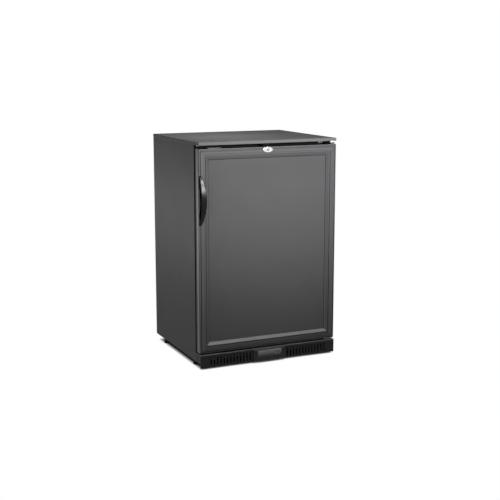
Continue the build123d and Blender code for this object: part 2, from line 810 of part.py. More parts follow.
bottom_hinge = block(plate_left, plate_right, plate_front_d, front_d, bottom_plate_bottom, bottom_plate_top)
bottom_hinge += block(
    leg_left, leg_right, leg_front_d, front_d, bottom_plate_bottom - lower_leg_height, bottom_plate_bottom
)
bottom_hinge -= rod_z(hinge_x, hinge_depth, bottom_plate_bottom, bottom_plate_top, pin_hole_radius)
pieces["hinge_plates"] = group(drilled(plate, hinge_screw_places) for plate in (top_hinge, bottom_hinge))
bottom_pin_top = door_bottom + closer_length - rest_gap - bush_wall
bottom_pin = rod_z(
    hinge_x, hinge_depth, bottom_plate_bottom, bottom_pin_top, hinge_pin_radius
) + rod_z(hinge_x, hinge_depth, bottom_plate_top, door_bottom - rest_gap, bush_radius)
pieces["hinge_pins"] = group([top_pin, bottom_pin])

top_bush = rod_z(
    hinge_x, hinge_depth, door_top - bush_length, door_top, bush_radius
) - rod_z(hinge_x, hinge_depth, door_top - bush_length, door_top, pin_hole_radius)
closer = rod_z(
    hinge_x, hinge_depth, door_bottom, door_bottom + closer_length, bush_radius
) - rod_z(hinge_x, hinge_depth, door_bottom, door_bottom + closer_length - bush_wall, pin_hole_radius)
pieces["hinge_bushes"] = group([top_bush, closer])

# ---------------------------------------------------------------- lock
plate_outline = Ellipse(lock_plate_width / 2, lock_plate_height / 2)
lock_plate = Pos(lock_x, door_face_y, lock_z) * extrude(Plane.XZ * plate_outline, lock_plate_thickness)
front_rim = lock_plate.edges().group_by(Axis.Y)[0]
lock_plate = fillet(front_rim, lock_plate_rounding)
lock_body = lock_plate + rod_y(lock_x, 0, lock_tube_length, lock_z, tube_radius)
lock_body -= rod_y(lock_x, -lock_plate_thickness, lock_tube_length, lock_z, barrel_radius + press_gap)
pieces["lock_body"] = lock_body
barrel_front_d = -lock_plate_thickness - barrel_proud
lock_barrel = rod_y(lock_x, barrel_front_d, cam_front_d, lock_z, barrel_radius)
lock_barrel -= block(
    lock_x - key_slot_width / 2, lock_x + key_slot_width / 2, barrel_front_d, barrel_front_d + key_slot_depth,
    lock_z - key_slot_height / 2, lock_z + key_slot_height / 2,
)
cam_round = rod_y(lock_x, cam_front_d, cam_back_d, lock_z, cam_width / 2)
cam = cam_round + block(
    lock_x, lock_x + cam_length, cam_front_d, cam_back_d, lock_z - cam_width / 2, lock_z + cam_width / 2
)
pieces["lock_barrel"] = group([lock_barrel, cam])
keeper_half = cam_width / 2 + 2 * cam_room
keeper_bottom = door_top + top_hinge_gap
keeper_front_d = cam_front_d - cam_room - keeper_drop
keeper_back_d = cam_back_d + cam_room + keeper_drop
keeper = block(
    lock_x - keeper_half - keeper_drop, lock_x + keeper_half + keeper_drop, keeper_front_d, keeper_back_d,
    keeper_bottom, case_top,
)
keeper -= block(
    lock_x - keeper_half - keeper_drop, lock_x + keeper_half + keeper_drop,
    keeper_front_d + keeper_thickness, keeper_back_d - keeper_thickness,
    keeper_bottom, case_top - keeper_thickness,
)
pieces["lock_keeper"] = keeper

# ---------------------------------------------------------------- plinth grille
plinth_front_d = -plinth_proud
plinth_face_d = plinth_front_d + plinth_wall
plinth = block(left, right, plinth_front_d, plinth_face_d, plinth_clearance, plinth_top)
plinth += block(left, right, plinth_face_d, plinth_return, plinth_top - plinth_wall, plinth_top)
for cheek in mirrored_pair(
    block(left, left + plinth_wall, plinth_face_d, front_d, plinth_side_bottom, plinth_top)
):
    plinth += cheek
top_front_edge = plinth.edges().filter_by(Axis.X).group_by(Axis.Y)[0].sort_by(Axis.Z)[-1]
plinth = fillet(top_front_edge, plinth_rounding)
slot_shape = extrude(
    Plane.XZ * SlotOverall(slot_height, slot_width, rotation=90), plinth_wall * 2, both=True
)
slot_z = plinth_clearance + slot_bottom + slot_height / 2
housing_half = housing_width / 2
slot_count = int((half_width - first_slot_inset - housing_half - slot_room) / slot_pitch) + 1
slots = [
    Pos(side * (half_width - first_slot_inset - number * slot_pitch), door_face_y + plinth_front_d, slot_z)
    * slot_shape
    for side in (-1, 1)
    for number in range(slot_count)
]
plinth -= slots
tongue_half = housing_half - housing_tongue_margin
tongue_low = plinth_clearance + housing_chamfer + plinth_wall
tongue_high = plinth_top - housing_chamfer - plinth_wall
plinth -= block(
    -tongue_half, tongue_half, plinth_front_d - cut_over, plinth_face_d + cut_over, tongue_low, tongue_high
)
pieces["plinth_grille"] = plinth

# ---------------------------------------------------------------- control housing
housing_front_d = plinth_front_d - housing_proud
housing_top = plinth_top - plinth_rounding
housing = block(-housing_half, housing_half, housing_front_d, plinth_front_d, plinth_clearance, housing_top)
housing = chamfer(housing.faces().sort_by(Axis.Y)[0].edges(), housing_chamfer)
housing += block(-tongue_half, tongue_half, plinth_front_d, housing_back, tongue_low, tongue_high)
window_top = housing_top - window_drop
window_bottom = window_top - window_height
window_half = window_width / 2
window_back_d = housing_front_d + window_thickness
housing -= block(
    -window_half - window_gap, window_half + window_gap, housing_front_d, window_back_d,
    window_bottom - window_gap, window_top + window_gap,
)
pocket_back_d = window_back_d + pocket_depth
housing -= block(
    -window_half + pocket_rim, window_half - pocket_rim, window_back_d, pocket_back_d,
    window_bottom + pocket_rim, window_top - pocket_rim,
)
pieces["control_housing"] = housing

window_middle = (window_top + window_bottom) / 2
button_places = {
    "button_power": (button_offset - button_pitch_x / 2, window_middle + button_pitch_z / 2),
    "button_light": (button_offset + button_pitch_x / 2, window_middle + button_pitch_z / 2),
    "button_down": (button_offset - button_pitch_x / 2, window_middle - button_pitch_z / 2),
    "button_up": (button_offset + button_pitch_x / 2, window_middle - button_pitch_z / 2),
}
window = block(-window_half, window_half, housing_front_d, window_back_d, window_bottom, window_top)
button_front_d = housing_front_d - button_proud
for name, (x, z) in button_places.items():
    pieces[name] = block(
        x - button_width / 2, x + button_width / 2, button_front_d, button_front_d + button_length,
        z - button_height / 2, z + button_height / 2,
    )
    window -= block(
        x - button_width / 2 - rest_gap, x + button_width / 2 + rest_gap, housing_front_d, window_back_d,
        z - button_height / 2 - rest_gap, z + button_height / 2 + rest_gap,
    )
pieces["control_window"] = window
board = block(
    -window_half + pocket_rim, window_half - pocket_rim, pocket_back_d - board_thickness, pocket_back_d,
    window_bottom + pocket_rim, window_top - pocket_rim,
)
display = block(
    display_offset - display_width / 2, display_offset + display_width / 2,
    window_back_d, pocket_back_d - board_thickness,
    window_middle - display_height / 2, window_middle + display_height / 2,
)
pieces["control_board"] = board + display

# ---------------------------------------------------------------- levelling feet
for name, (x, d) in foot_places.items():
    foot = rod_z(x, d, 0, foot_base_height, foot_radius)
    foot += rod_z(x, d, foot_base_height, foot_collar_height, foot_collar_radius)
    foot += rod_z(x, d, foot_collar_height, foot_stud_top, foot_stud_radius)
    pieces[name] = foot
fasteners += [
    rod_z(x, d, pan_top, pan_top + foot_nut_height, foot_nut_radius)
    - rod_z(x, d, pan_top, pan_top + foot_nut_height, foot_stud_radius + press_gap)
    for x, d in foot_places.values()
]


# ---------------------------------------------------------------- shelves
def wire_shelf(z):
    half = cavity_half - shelf_side_gap - shelf_frame_radius
    front, back = shelf_front_depth, shelf_back_depth
    loop = RectangleRounded(2 * half, back - front, shelf_corner)
    loop = Pos(0, door_face_y + (front + back) / 2, z) * loop
    path = loop.face().outer_wire()
    start = Plane(origin=path @ 0, z_dir=path % 0)
    shelf = sweep(start * Circle(shelf_frame_radius), path=path)
    wire_z = z + shelf_frame_radius - shelf_wire_radius
    bar_z = wire_z - shelf_wire_radius - shelf_bar_radius + shelf_weld
    pitch = 2 * half / (shelf_wire_count + 1)
    rods = [
        rod_y(-half + pitch * (number + 1), front, back, wire_z, shelf_wire_radius)
        for number in range(shelf_wire_count)
    ]
    bar_pitch = (back - front) / (shelf_bar_count + 1)
    rods += [
        rod_x(-half, half, front + bar_pitch * (number + 1), bar_z, shelf_bar_radius)
        for number in range(shelf_bar_count)
    ]
    return shelf + rods


lower_shelf = wire_shelf(shelf_heights[0])
pieces["wire_shelf_lower"] = lower_shelf
pieces["wire_shelf_upper"] = Pos(0, 0, shelf_heights[1] - shelf_heights[0]) * lower_shelf

upright_top = cavity_top - upright_top_gap
upright_places = {
    front_upright_depth: cavity_floor + upright_bottom_gap,
    rear_upright_depth: step_top + step_upright_gap,
}


def upright(d, z_bottom):
    strip = block(
        -cavity_half, -cavity_half + upright_thickness, d - upright_width / 2, d + upright_width / 2,
        z_bottom, upright_top,
    )
    cutters = []
    z = shelf_heights[0] - shelf_frame_radius - clip_height / 2
    while z - upright_slot_pitch > z_bottom + upright_slot_height:
        z -= upright_slot_pitch
    while z < upright_top - upright_slot_height:
        cutters.append(
            block(
                -cavity_half, -cavity_half + upright_thickness,
                d - upright_slot_width / 2, d + upright_slot_width / 2,
                z - upright_slot_height / 2, z + upright_slot_height / 2,
            )
        )
        z += upright_slot_pitch
    return strip - cutters


uprights = []
clips = []
for d, z_bottom in upright_places.items():
    uprights += mirrored_pair(upright(d, z_bottom))
    for shelf_z in shelf_heights:
        clip_top = shelf_z - shelf_frame_radius - press_gap
        face_x = -cavity_half + upright_thickness
        clip = block(
            face_x, face_x + clip_reach, d - clip_width / 2, d + clip_width / 2,
            clip_top - clip_height, clip_top,
        )
        clips += mirrored_pair(clip)
pieces["shelf_supports"] = group(uprights + clips)

lamp_front_d = front_d + lamp_inset
pieces["lamp_housing"] = block(
    -lamp_width / 2, lamp_width / 2, lamp_front_d, lamp_front_d + lamp_depth,
    cavity_top - lamp_height, cavity_top,
)
lamp_middle_d = lamp_front_d + lamp_depth / 2
pieces["lamp_cover"] = block(
    -lamp_width / 2 + lamp_inset, lamp_width / 2 - lamp_inset,
    lamp_middle_d - lamp_cover_depth / 2, lamp_middle_d + lamp_cover_depth / 2,
    cavity_top - lamp_height - lamp_cover_height, cavity_top - lamp_height,
)

# ---------------------------------------------------------------- duct panel and evaporator
duct_front_inner_d = duct_panel_d + duct_panel_sheet
duct_panel = block(
    -duct_panel_half, duct_panel_half, duct_panel_d, cavity_back_d, step_top, duct_panel_top
) - block(
    -duct_panel_half + duct_panel_sheet, duct_panel_half - duct_panel_sheet,
    duct_front_inner_d, cavity_back_d, step_top, duct_panel_top - duct_panel_sheet,
)
duct_panel -= rod_y(0, duct_panel_d, duct_front_inner_d, fan_height, fan_opening_radius)
duct_panel -= [
    block(
        -intake_width / 2, intake_width / 2, duct_panel_d, duct_front_inner_d,
        step_top + intake_bottom + number * intake_pitch,
        step_top + intake_bottom + number * intake_pitch + intake_height,
    )
    for number in range(intake_count)
]
pieces["duct_panel"] = duct_panel


def fan_rotor(radius, length):
    """Hub and pitched blades about Z, from z = 0 to z = length."""
    rotor = Pos(0, 0, length / 2) * Cylinder(hub_radius, length)
    span = radius - blade_root_radius
    chord = (length - 2 * blade_margin) / sin(radians(blade_pitch_angle))
    blade = Pos(blade_root_radius + span / 2, 0, length / 2) * Rot(90 - blade_pitch_angle, 0, 0) * Box(
        span, blade_thickness, chord
    )
    blades = [Rot(0, 0, 360 / blade_count * number) * blade for number in range(blade_count)]
    trim = Pos(0, 0, length / 2) * Cylinder(radius, length)
    bore = Pos(0, 0, length / 2) * Cylinder(fan_shaft_radius + press_gap, length)
    return ((rotor + blades) & trim) - bore


fan_front_d = duct_front_inner_d + fan_to_panel
fan_back_d = fan_front_d + fan_depth
rotor_pose = Pos(0, door_face_y + fan_front_d, fan_height) * Rot(-90, 0, 0)
pieces["evaporator_fan_blades"] = rotor_pose * fan_rotor(fan_radius, fan_depth)
motor_front_d = fan_back_d + fan_motor_gap
motor_back_d = motor_front_d + fan_motor_length
motor = rod_y(0, motor_front_d, motor_back_d, fan_height, fan_motor_radius)
motor += rod_y(0, fan_back_d - shaft_in_hub, motor_front_d, fan_height, fan_shaft_radius)
for side in (-1, 1):
    arm_x = side * (fan_opening_radius + fan_arm_width)
    inner_end, outer_end = sorted((side * (fan_motor_radius - fan_arm_root), arm_x))
    arm_z0, arm_z1 = fan_height - fan_arm_width / 2, fan_height + fan_arm_width / 2
    motor += block(inner_end, outer_end, motor_back_d - fan_arm_sheet, motor_back_d, arm_z0, arm_z1)
    low, high = sorted((arm_x, arm_x - side * fan_arm_sheet))
    motor += block(low, high, duct_front_inner_d, motor_back_d, arm_z0, arm_z1)
pieces["evaporator_fan_motor"] = motor
guard_d = duct_panel_d - guard_wire
guard_plane = Plane(origin=(0, door_face_y + guard_d, fan_height), z_dir=(0, -1, 0))
guard = guard_plane * Torus(guard_ring_radii[0], guard_wire)
guard_parts = [guard_plane * Torus(ring, guard_wire) for ring in guard_ring_radii[1:]]
spoke_length = guard_ring_radii[-1] - guard_ring_radii[0]
for number in range(guard_spokes):
    spoke = Pos(guard_ring_radii[0] + spoke_length / 2, 0, 0) * Rot(0, 90, 0) * Cylinder(
        guard_wire, spoke_length
    )
    guard_parts.append(guard_plane * Rot(0, 0, 360 / guard_spokes * number + guard_turn) * spoke)
pieces["fan_guard"] = guard + guard_parts

coil_heights = [coil_first_height + row * coil_pitch for row in range(coil_rows)]
coil_points = []
for row, z in enumerate(coil_heights):
    ends = [-coil_half_length, coil_half_length]
    if row % 2:
        ends.reverse()
    coil_points += [(end, coil_depth, z) for end in ends]
coil_port_x = -coil_half_length - coil_end_room
coil_points[0] = (coil_port_x, coil_depth, coil_heights[0])
coil_points[-1] = (coil_port_x, coil_depth, coil_heights[-1])
pipes = [tube(coil_points, coil_pitch / 2 - return_bend_room, coil_tube_radius)]


def fin_x(x, thickness, d0, d1, z0, z1, heights, depth, bore):
    """A fin square to X, drilled for each tube row."""
    fin = block(x, x + thickness, d0, d1, z0, z1)
    return fin - [rod_x(x - cut_over, x + thickness + cut_over, depth, z, bore) for z in heights]


fin_low = coil_heights[0] - coil_fin_margin
fin_high = coil_heights[-1] + coil_fin_margin
first_fin_x = -coil_fin_pitch * (coil_fin_count - 1) / 2
fin_front_d = coil_depth - coil_fin_depth / 2
fin_back_d = coil_depth + coil_fin_depth / 2
fin_bore = coil_tube_radius + press_gap
first_fin = fin_x(
    first_fin_x, coil_fin_thickness, fin_front_d, fin_back_d,
    fin_low, fin_high, coil_heights, coil_depth, fin_bore,
)
coil_fins = [Pos(number * coil_fin_pitch, 0, 0) * first_fin for number in range(coil_fin_count)]
end_plate = fin_x(
    first_fin_x - coil_end_plate_gap, 2 * coil_fin_thickness, fin_front_d, cavity_back_d,
    fin_low, fin_high, coil_heights, coil_depth, fin_bore,
)
all_fins = coil_fins + mirrored_pair(end_plate)

tray_top = fin_low - drip_tray_gap
tray_bottom = tray_top - drip_tray_height
tray_front_d = duct_front_inner_d + rest_gap
drip_tray = block(
    -drip_tray_half_width, drip_tray_half_width, tray_front_d, cavity_back_d, tray_bottom, tray_top
) - block(
    -drip_tray_half_width + drip_tray_wall, drip_tray_half_width - drip_tray_wall,
    tray_front_d + drip_tray_wall, cavity_back_d - drip_tray_wall, tray_bottom + drip_tray_wall, tray_top,
)
drip_tray -= rod_z(drain_hose_x, coil_depth, tray_bottom, tray_top, drain_hose_bore)
drain_hose = rod_z(
    drain_hose_x, coil_depth, drain_hose_bottom, tray_bottom, drain_hose_radius
) - rod_z(drain_hose_x, coil_depth, drain_hose_bottom, tray_bottom, drain_hose_bore)
sensor_z = tray_bottom - 2 * drip_tray_height
sensor_d = duct_front_inner_d + 2 * sensor_radius
pieces["temperature_sensor"] = rod_x(
    sensor_offset, sensor_offset + sensor_length, sensor_d, sensor_z, sensor_radius
) + block(
    sensor_offset + sensor_length / 3, sensor_offset + sensor_length / 2, duct_front_inner_d, sensor_d,
    sensor_z - sensor_radius, sensor_z + sensor_radius,
)

# ---------------------------------------------------------------- compressor
compressor_centre = Pos(compressor_x, door_face_y + coil_depth, 0)


def can(radius, bottom, top, crown):
    """An upright round can with rounded ends."""
    body = Pos(0, 0, (bottom + top) / 2) * Cylinder(radius, top - bottom)
    return fillet(body.edges().filter_by(GeomType.CIRCLE), crown)


shell_outer = can(compressor_radius, compressor_bottom, compressor_top, compressor_crown)
shell_inner = can(
    compressor_radius - compressor_wall, compressor_bottom + compressor_wall,
    compressor_top - compressor_wall, compressor_crown - compressor_wall,
)
seam = Pos(0, 0, seam_level) * Cylinder(seam_radius, seam_height)
shell = compressor_centre * ((shell_outer + seam) - shell_inner)
pump_bottom = compressor_bottom + compressor_wall
pump = Pos(0, 0, pump_bottom + pump_height / 2) * Cylinder(pump_foot_radius, pump_height)
stator_height = pump_height - pump_foot_height
pump += Pos(0, 0, pump_bottom + pump_foot_height + stator_height / 2) * Cylinder(pump_radius, stator_height)
pieces["compressor_pump_motor"] = compressor_centre * pump
rail_bottom = compressor_bottom - base_rail_thickness
base_rail = block(
    compressor_x - base_rail_half_width, compressor_x + base_rail_half_width,
    coil_depth - base_rail_half_depth, coil_depth + base_rail_half_depth, rail_bottom, compressor_bottom,
)
grommet_places = [
    (compressor_x + sx * (base_rail_half_width - grommet_inset),
     coil_depth + sd * (base_rail_half_depth - grommet_inset))
    for sx in (-1, 1) for sd in (-1, 1)
]
base_rail -= [
    rod_z(x, d, rail_bottom, compressor_bottom, mount_bolt_radius + press_gap) for x, d in grommet_places
]
pieces["compressor_shell"] = shell + base_rail
pieces["compressor_grommets"] = group(
    rod_z(x, d, pan_top, rail_bottom, grommet_radius)
    - rod_z(x, d, pan_top, rail_bottom, mount_bolt_radius + press_gap)
    for x, d in grommet_places
)
fasteners += [
    rod_z(x, d, pan_top, compressor_bottom, mount_bolt_radius)
    + rod_z(x, d, compressor_bottom, compressor_bottom + 2 * mount_bolt_radius, 2 * mount_bolt_radius)
    for x, d in grommet_places
]
pieces["cabinet_fasteners"] = group(fasteners)
cover_middle = seam_level + seam_height + terminal_cover_height / 2
cover_reach_x = compressor_x + compressor_radius + terminal_cover_reach
terminal_cover = block(
    compressor_x, cover_reach_x, coil_depth - terminal_cover_width / 2, coil_depth + terminal_cover_width / 2,
    cover_middle - terminal_cover_height / 2, cover_middle + terminal_cover_height / 2,
)
cover_clear = Pos(0, 0, cover_middle) * Cylinder(compressor_radius + press_gap, 2 * bay_height)
cover_clear = compressor_centre * cover_clear
terminal_cover -= cover_clear

evaporation_tray_top = compressor_top + drain_tray_height


def tray_block(half, bottom):
    return block(
        compressor_x - half, compressor_x + half, coil_depth - half, coil_depth + half,
        bottom, evaporation_tray_top,
    )


evaporation_tray = tray_block(drain_tray_half, compressor_top)
evaporation_tray -= tray_block(drain_tray_half - drain_tray_wall, compressor_top + drain_tray_wall)
pieces["drain_trays_and_hose"] = group([drip_tray, drain_hose, evaporation_tray])

# ---------------------------------------------------------------- condenser and its fan
shroud = block(
    shroud_x, shroud_x + shroud_sheet, shroud_front_depth, shroud_back_depth, pan_top, shroud_top
) - rod_x(shroud_x, shroud_x + shroud_sheet, cooling_fan_depth, cooling_fan_height, cooling_fan_opening)
shroud += block(
    shroud_x + shroud_sheet, shroud_x + shroud_sheet + shroud_flange, shroud_front_depth, shroud_back_depth,
    pan_top, pan_top + shroud_sheet,
)
pieces["fan_shroud"] = shroud
rotor_right = shroud_x - cooling_fan_gap
rotor_left = rotor_right - cooling_fan_length
cooling_pose = Pos(rotor_left, door_face_y + cooling_fan_depth, cooling_fan_height) * Rot(0, 90, 0)
pieces["condenser_fan_blades"] = cooling_pose * fan_rotor(cooling_fan_radius, cooling_fan_length)
cooling_motor_right = rotor_left - fan_motor_gap
cooling_motor_left = cooling_motor_right - cooling_fan_motor_length
cooling_motor = rod_x(
    cooling_motor_left, cooling_motor_right, cooling_fan_depth, cooling_fan_height, cooling_fan_motor_radius
)
cooling_motor += rod_x(
    cooling_motor_right, rotor_left + shaft_in_hub, cooling_fan_depth, cooling_fan_height, fan_shaft_radius
)
arm_reach = cooling_fan_opening + fan_arm_clearance
for side in (-1, 1):
    z_inner = cooling_fan_height + side * (cooling_fan_motor_radius - fan_arm_root)
    z_outer = cooling_fan_height + side * arm_reach
    low, high = sorted((z_inner, z_outer))
    arm_d0, arm_d1 = cooling_fan_depth - fan_arm_width / 2, cooling_fan_depth + fan_arm_width / 2
    cooling_motor += block(cooling_motor_left, cooling_motor_left + fan_arm_sheet, arm_d0, arm_d1, low, high)
    low, high = sorted((z_outer, z_outer + side * fan_arm_sheet))
    cooling_motor += block(cooling_motor_left, shroud_x, arm_d0, arm_d1, low, high)
pieces["condenser_fan_motor"] = cooling_motor

row_heights = [condenser_first_height + row * condenser_pitch for row in range(condenser_rows)]
row_points = []
for row, z in enumerate(reversed(row_heights)):
    ends = [condenser_front_depth, condenser_back_depth]
    if row % 2:
        ends.reverse()
    row_points += [(condenser_x, end, z) for end in ends]
pipes.append(tube(row_points, condenser_pitch / 2 - return_bend_room, coil_tube_radius))
fin_d0 = (condenser_front_depth + condenser_back_depth - condenser_fin_pitch * (condenser_fin_count - 1)) / 2
row_bottom = row_heights[0] - condenser_fin_margin
row_top = row_heights[-1] + condenser_fin_margin


def condenser_fin(d, thickness, x0, x1, bore):
    fin = block(x0, x1, d, d + thickness, row_bottom, row_top)
    return fin - [
        rod_y(condenser_x, d - cut_over, d + thickness + cut_over, z, bore) for z in row_heights
    ]


first_row_fin = condenser_fin(
    fin_d0, condenser_fin_thickness, condenser_x - condenser_half_width + 2 * rest_gap,
    condenser_x + condenser_half_width, coil_tube_radius + press_gap,
)
row_fins = [Pos(0, number * condenser_fin_pitch, 0) * first_row_fin for number in range(condenser_fin_count)]
end_plate_d = fin_d0 - condenser_end_gap
condenser_end = condenser_fin(
    end_plate_d, 2 * condenser_fin_thickness, shroud_x + shroud_sheet, condenser_x + condenser_half_width,
    coil_tube_radius + press_gap,
)
end_plate_span = condenser_fin_pitch * (condenser_fin_count - 1) + 2 * condenser_end_gap
far_end = Pos(0, end_plate_span, 0) * condenser_end
all_fins += row_fins + [condenser_end, far_end]
pieces["coil_fins"] = group(all_fins)

# ---------------------------------------------------------------- pipes
shell_reach = compressor_radius * sin(radians(45))
discharge_start = (compressor_x + shell_reach, coil_depth - shell_reach, discharge_port_height)
discharge_x = compressor_x + shell_reach + discharge_offset
discharge_d = coil_depth - shell_reach - discharge_offset
inlet_d = condenser_front_depth - inlet_offset
discharge_pipe = tube(
    [
        discharge_start,
        (discharge_x, discharge_d, discharge_port_height),
        (discharge_x, discharge_d, discharge_level),
        (condenser_x, inlet_d, discharge_level),
        (condenser_x, inlet_d, row_heights[-1]),
        (condenser_x, condenser_front_depth, row_heights[-1]),
    ],
    pipe_bend,
    pipe_radius,
)
liquid_pipe = tube(
    [
        (condenser_x, condenser_front_depth, row_heights[0]),
        (condenser_x, drier_depth, row_heights[0]),
        (drier_x, drier_depth, row_heights[0]),
        (drier_x, drier_depth, drier_bottom),
    ],
    pipe_bend,
    pipe_radius,
)
drier_top = drier_bottom + drier_length
filter_drier = rod_z(drier_x, drier_depth, drier_bottom, drier_top, pipe_radius)
filter_drier += rod_z(drier_x, drier_depth, drier_bottom + drier_neck, drier_top - drier_neck, drier_radius)
capillary_pipe = tube(
    [
        (drier_x, drier_depth, drier_top),
        (drier_x, drier_depth, capillary_level),
        (capillary_x, drier_depth, capillary_level),
        (capillary_x, coil_depth, capillary_level),
        (capillary_x, coil_depth, coil_heights[-1]),
        (coil_port_x, coil_depth, coil_heights[-1]),
    ],
    capillary_bend,
    capillary_radius,
)
suction_pipe = tube(
    [
        (compressor_x - compressor_radius, coil_depth, suction_level),
        (suction_x, coil_depth, suction_level),
        (suction_x, coil_depth, coil_heights[0]),
        (coil_port_x, coil_depth, coil_heights[0]),
    ],
    suction_bend,
    suction_radius,
)
pieces["refrigerant_pipes"] = group(
    pipes + [discharge_pipe, liquid_pipe, filter_drier, capillary_pipe, suction_pipe]
)

# ---------------------------------------------------------------- supply box and its gland
supply_back_d = supply_box_front + supply_box_depth
supply_box = block(
    supply_box_x - supply_box_width / 2, supply_box_x + supply_box_width / 2, supply_box_front, supply_back_d,
    pan_top, pan_top + supply_box_height,
)
cable_gland = rod_y(
    supply_box_x, supply_back_d, supply_back_d + gland_length, cable_hole_z, gland_radius
) - rod_y(supply_box_x, supply_back_d, supply_back_d + gland_length, cable_hole_z, gland_bore)
pieces["electrical_boxes"] = group([supply_box, cable_gland, terminal_cover])

# ---------------------------------------------------------------- writing the parts
os.makedirs("parts", exist_ok=True)
for name, shape in pieces.items():
    export_step(shape, f"parts/{name}.step")
print(len(pieces), "pieces written")
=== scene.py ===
import math
import bmesh
import bpy
import numpy as np
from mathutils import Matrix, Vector


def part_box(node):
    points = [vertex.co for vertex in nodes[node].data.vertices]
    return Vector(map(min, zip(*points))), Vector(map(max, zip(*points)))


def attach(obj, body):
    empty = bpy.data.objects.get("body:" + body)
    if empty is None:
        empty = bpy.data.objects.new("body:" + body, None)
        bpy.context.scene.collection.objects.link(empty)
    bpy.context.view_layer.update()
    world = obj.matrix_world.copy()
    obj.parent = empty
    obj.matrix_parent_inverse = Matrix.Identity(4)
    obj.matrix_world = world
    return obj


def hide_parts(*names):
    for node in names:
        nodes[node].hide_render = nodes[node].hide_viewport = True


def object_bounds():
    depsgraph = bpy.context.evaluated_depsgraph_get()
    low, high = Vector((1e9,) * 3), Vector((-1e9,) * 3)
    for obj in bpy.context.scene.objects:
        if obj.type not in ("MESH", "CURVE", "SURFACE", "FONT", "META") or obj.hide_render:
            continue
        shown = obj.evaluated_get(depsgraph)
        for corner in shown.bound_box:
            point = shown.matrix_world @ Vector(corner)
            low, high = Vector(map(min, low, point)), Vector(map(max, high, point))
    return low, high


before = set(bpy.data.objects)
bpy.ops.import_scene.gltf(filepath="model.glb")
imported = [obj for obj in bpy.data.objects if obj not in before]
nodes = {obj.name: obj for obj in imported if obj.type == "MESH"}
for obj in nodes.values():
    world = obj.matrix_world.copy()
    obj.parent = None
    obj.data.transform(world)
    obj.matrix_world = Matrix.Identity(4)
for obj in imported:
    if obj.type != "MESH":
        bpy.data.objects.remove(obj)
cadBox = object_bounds()
scene = bpy.context.scene
print("frame loaded:", len(nodes), "nodes")


# camera: at the eye height of someone standing in front and to the left of the fridge
cameraValues = {
    "place": (-1.7209, -3.8360, 1.2124),
    "turn": -24.516,      # degrees from straight ahead, less than zero to the right
    "downTilt": 10.681,   # degrees below level
    "lens": 72.87,
    "sensor": 36.0,
}
cameraData = bpy.data.cameras.new("viewCamera")
cameraData.lens = cameraValues["lens"]
cameraData.sensor_width = cameraValues["sensor"]
viewCamera = bpy.data.objects.new("viewCamera", cameraData)
viewCamera.location = cameraValues["place"]
viewCamera.rotation_euler = (
    math.radians(90 - cameraValues["downTilt"]), 0, math.radians(cameraValues["turn"]),
)
scene.collection.objects.link(viewCamera)
scene.camera = viewCamera
print("camera placed")


# A shader node group with named inputs (name, kind, value) and outputs (name, kind).
def newGroup(name, inputs, outputs):
    group = bpy.data.node_groups.new(name, "ShaderNodeTree")
    for label, kind, value in inputs:
        socket = group.interface.new_socket(label, in_out="INPUT", socket_type="NodeSocket" + kind)
        socket.default_value = value
    for label, kind in outputs:
        group.interface.new_socket(label, in_out="OUTPUT", socket_type="NodeSocket" + kind)
    source = group.nodes.new("NodeGroupInput")
    sink = group.nodes.new("NodeGroupOutput")
    return group, source.outputs, sink.inputs


# A node of that kind; values set properties, links feed sockets by name or by number (in0, in1).
def addNode(tree, kind, values=None, **links):
    node = tree.nodes.new("ShaderNode" + kind)
    for key, value in (values or {}).items():
        setattr(node, key, value)
    for key, value in links.items():
        socket = node.inputs[int(key[2:])] if key[:2] == "in" and key[2:].isdigit() else node.inputs[key]
        if isinstance(value, bpy.types.NodeSocket):
            tree.links.new(value, socket)
        else:
            socket.default_value = value
    return node


# One step of arithmetic on two numbers or sockets.
def calc(tree, operation, first, second=0.0, clamp=False):
    node = addNode(tree, "Math", {"operation": operation, "use_clamp": clamp}, in0=first, in1=second)
    return node.outputs[0]


# A value between two limits carried to two others, held at the ends.
def remap(tree, value, fromLow, fromHigh, toLow, toHigh, shape="LINEAR"):
    node = addNode(tree, "MapRange", {"interpolation_type": shape}, in0=value)
    for number, limit in enumerate((fromLow, fromHigh, toLow, toHigh)):
        node.inputs[number + 1].default_value = limit
    return node.outputs[0]


# Two colours mixed by a share from 0 to 1.
def mixColours(tree, share, first, second):
    node = addNode(tree, "Mix", {"data_type": "RGBA"})
    for number, value in ((0, share), (6, first), (7, second)):
        if isinstance(value, bpy.types.NodeSocket):
            tree.links.new(value, node.inputs[number])
        else:
            node.inputs[number].default_value = value
    return node.outputs[2]


# One part of the normal, as a number: the world's, or the object's own, which turns with its body.
def facingAlong(tree, axis, own=False):
    if own:
        normal = tree.nodes.new("ShaderNodeTexCoord").outputs["Normal"]
    else:
        normal = addNode(tree, "NewGeometry").outputs["Normal"]
    return addNode(tree, "SeparateXYZ", in0=normal).outputs[axis]


grainValues = {"density": 1400.0, "mottleDensity": 9.0}


# Powder-coat grain: fine noise, in bumps under a millimetre across, with wider mottling.
def makeFineGrain():
    group, given, result = newGroup(
        "fineGrain",
        [("Place", "Vector", (0, 0, 0)), ("Grain Size", "Float", 1.0), ("Mottle", "Float", 0.5)],
        [("Height", "Float"), ("Mottling", "Float")],
    )
    scale = calc(group, "DIVIDE", grainValues["density"], given["Grain Size"])
    grain = addNode(group, "TexNoise", Vector=given["Place"], Scale=scale, Detail=2.0, Roughness=0.6)
    broad = addNode(group, "TexNoise", Vector=given["Place"], Scale=grainValues["mottleDensity"], Detail=4.0,
                    Roughness=0.55)
    offset = calc(group, "SUBTRACT", broad.outputs[0], 0.5)
    mottling = calc(group, "MULTIPLY", offset, given["Mottle"])
    group.links.new(grain.outputs[0], result["Height"])
    group.links.new(mottling, result["Mottling"])
    return group


streakScale = 0.11  # the streaks' density as a share of the lines'


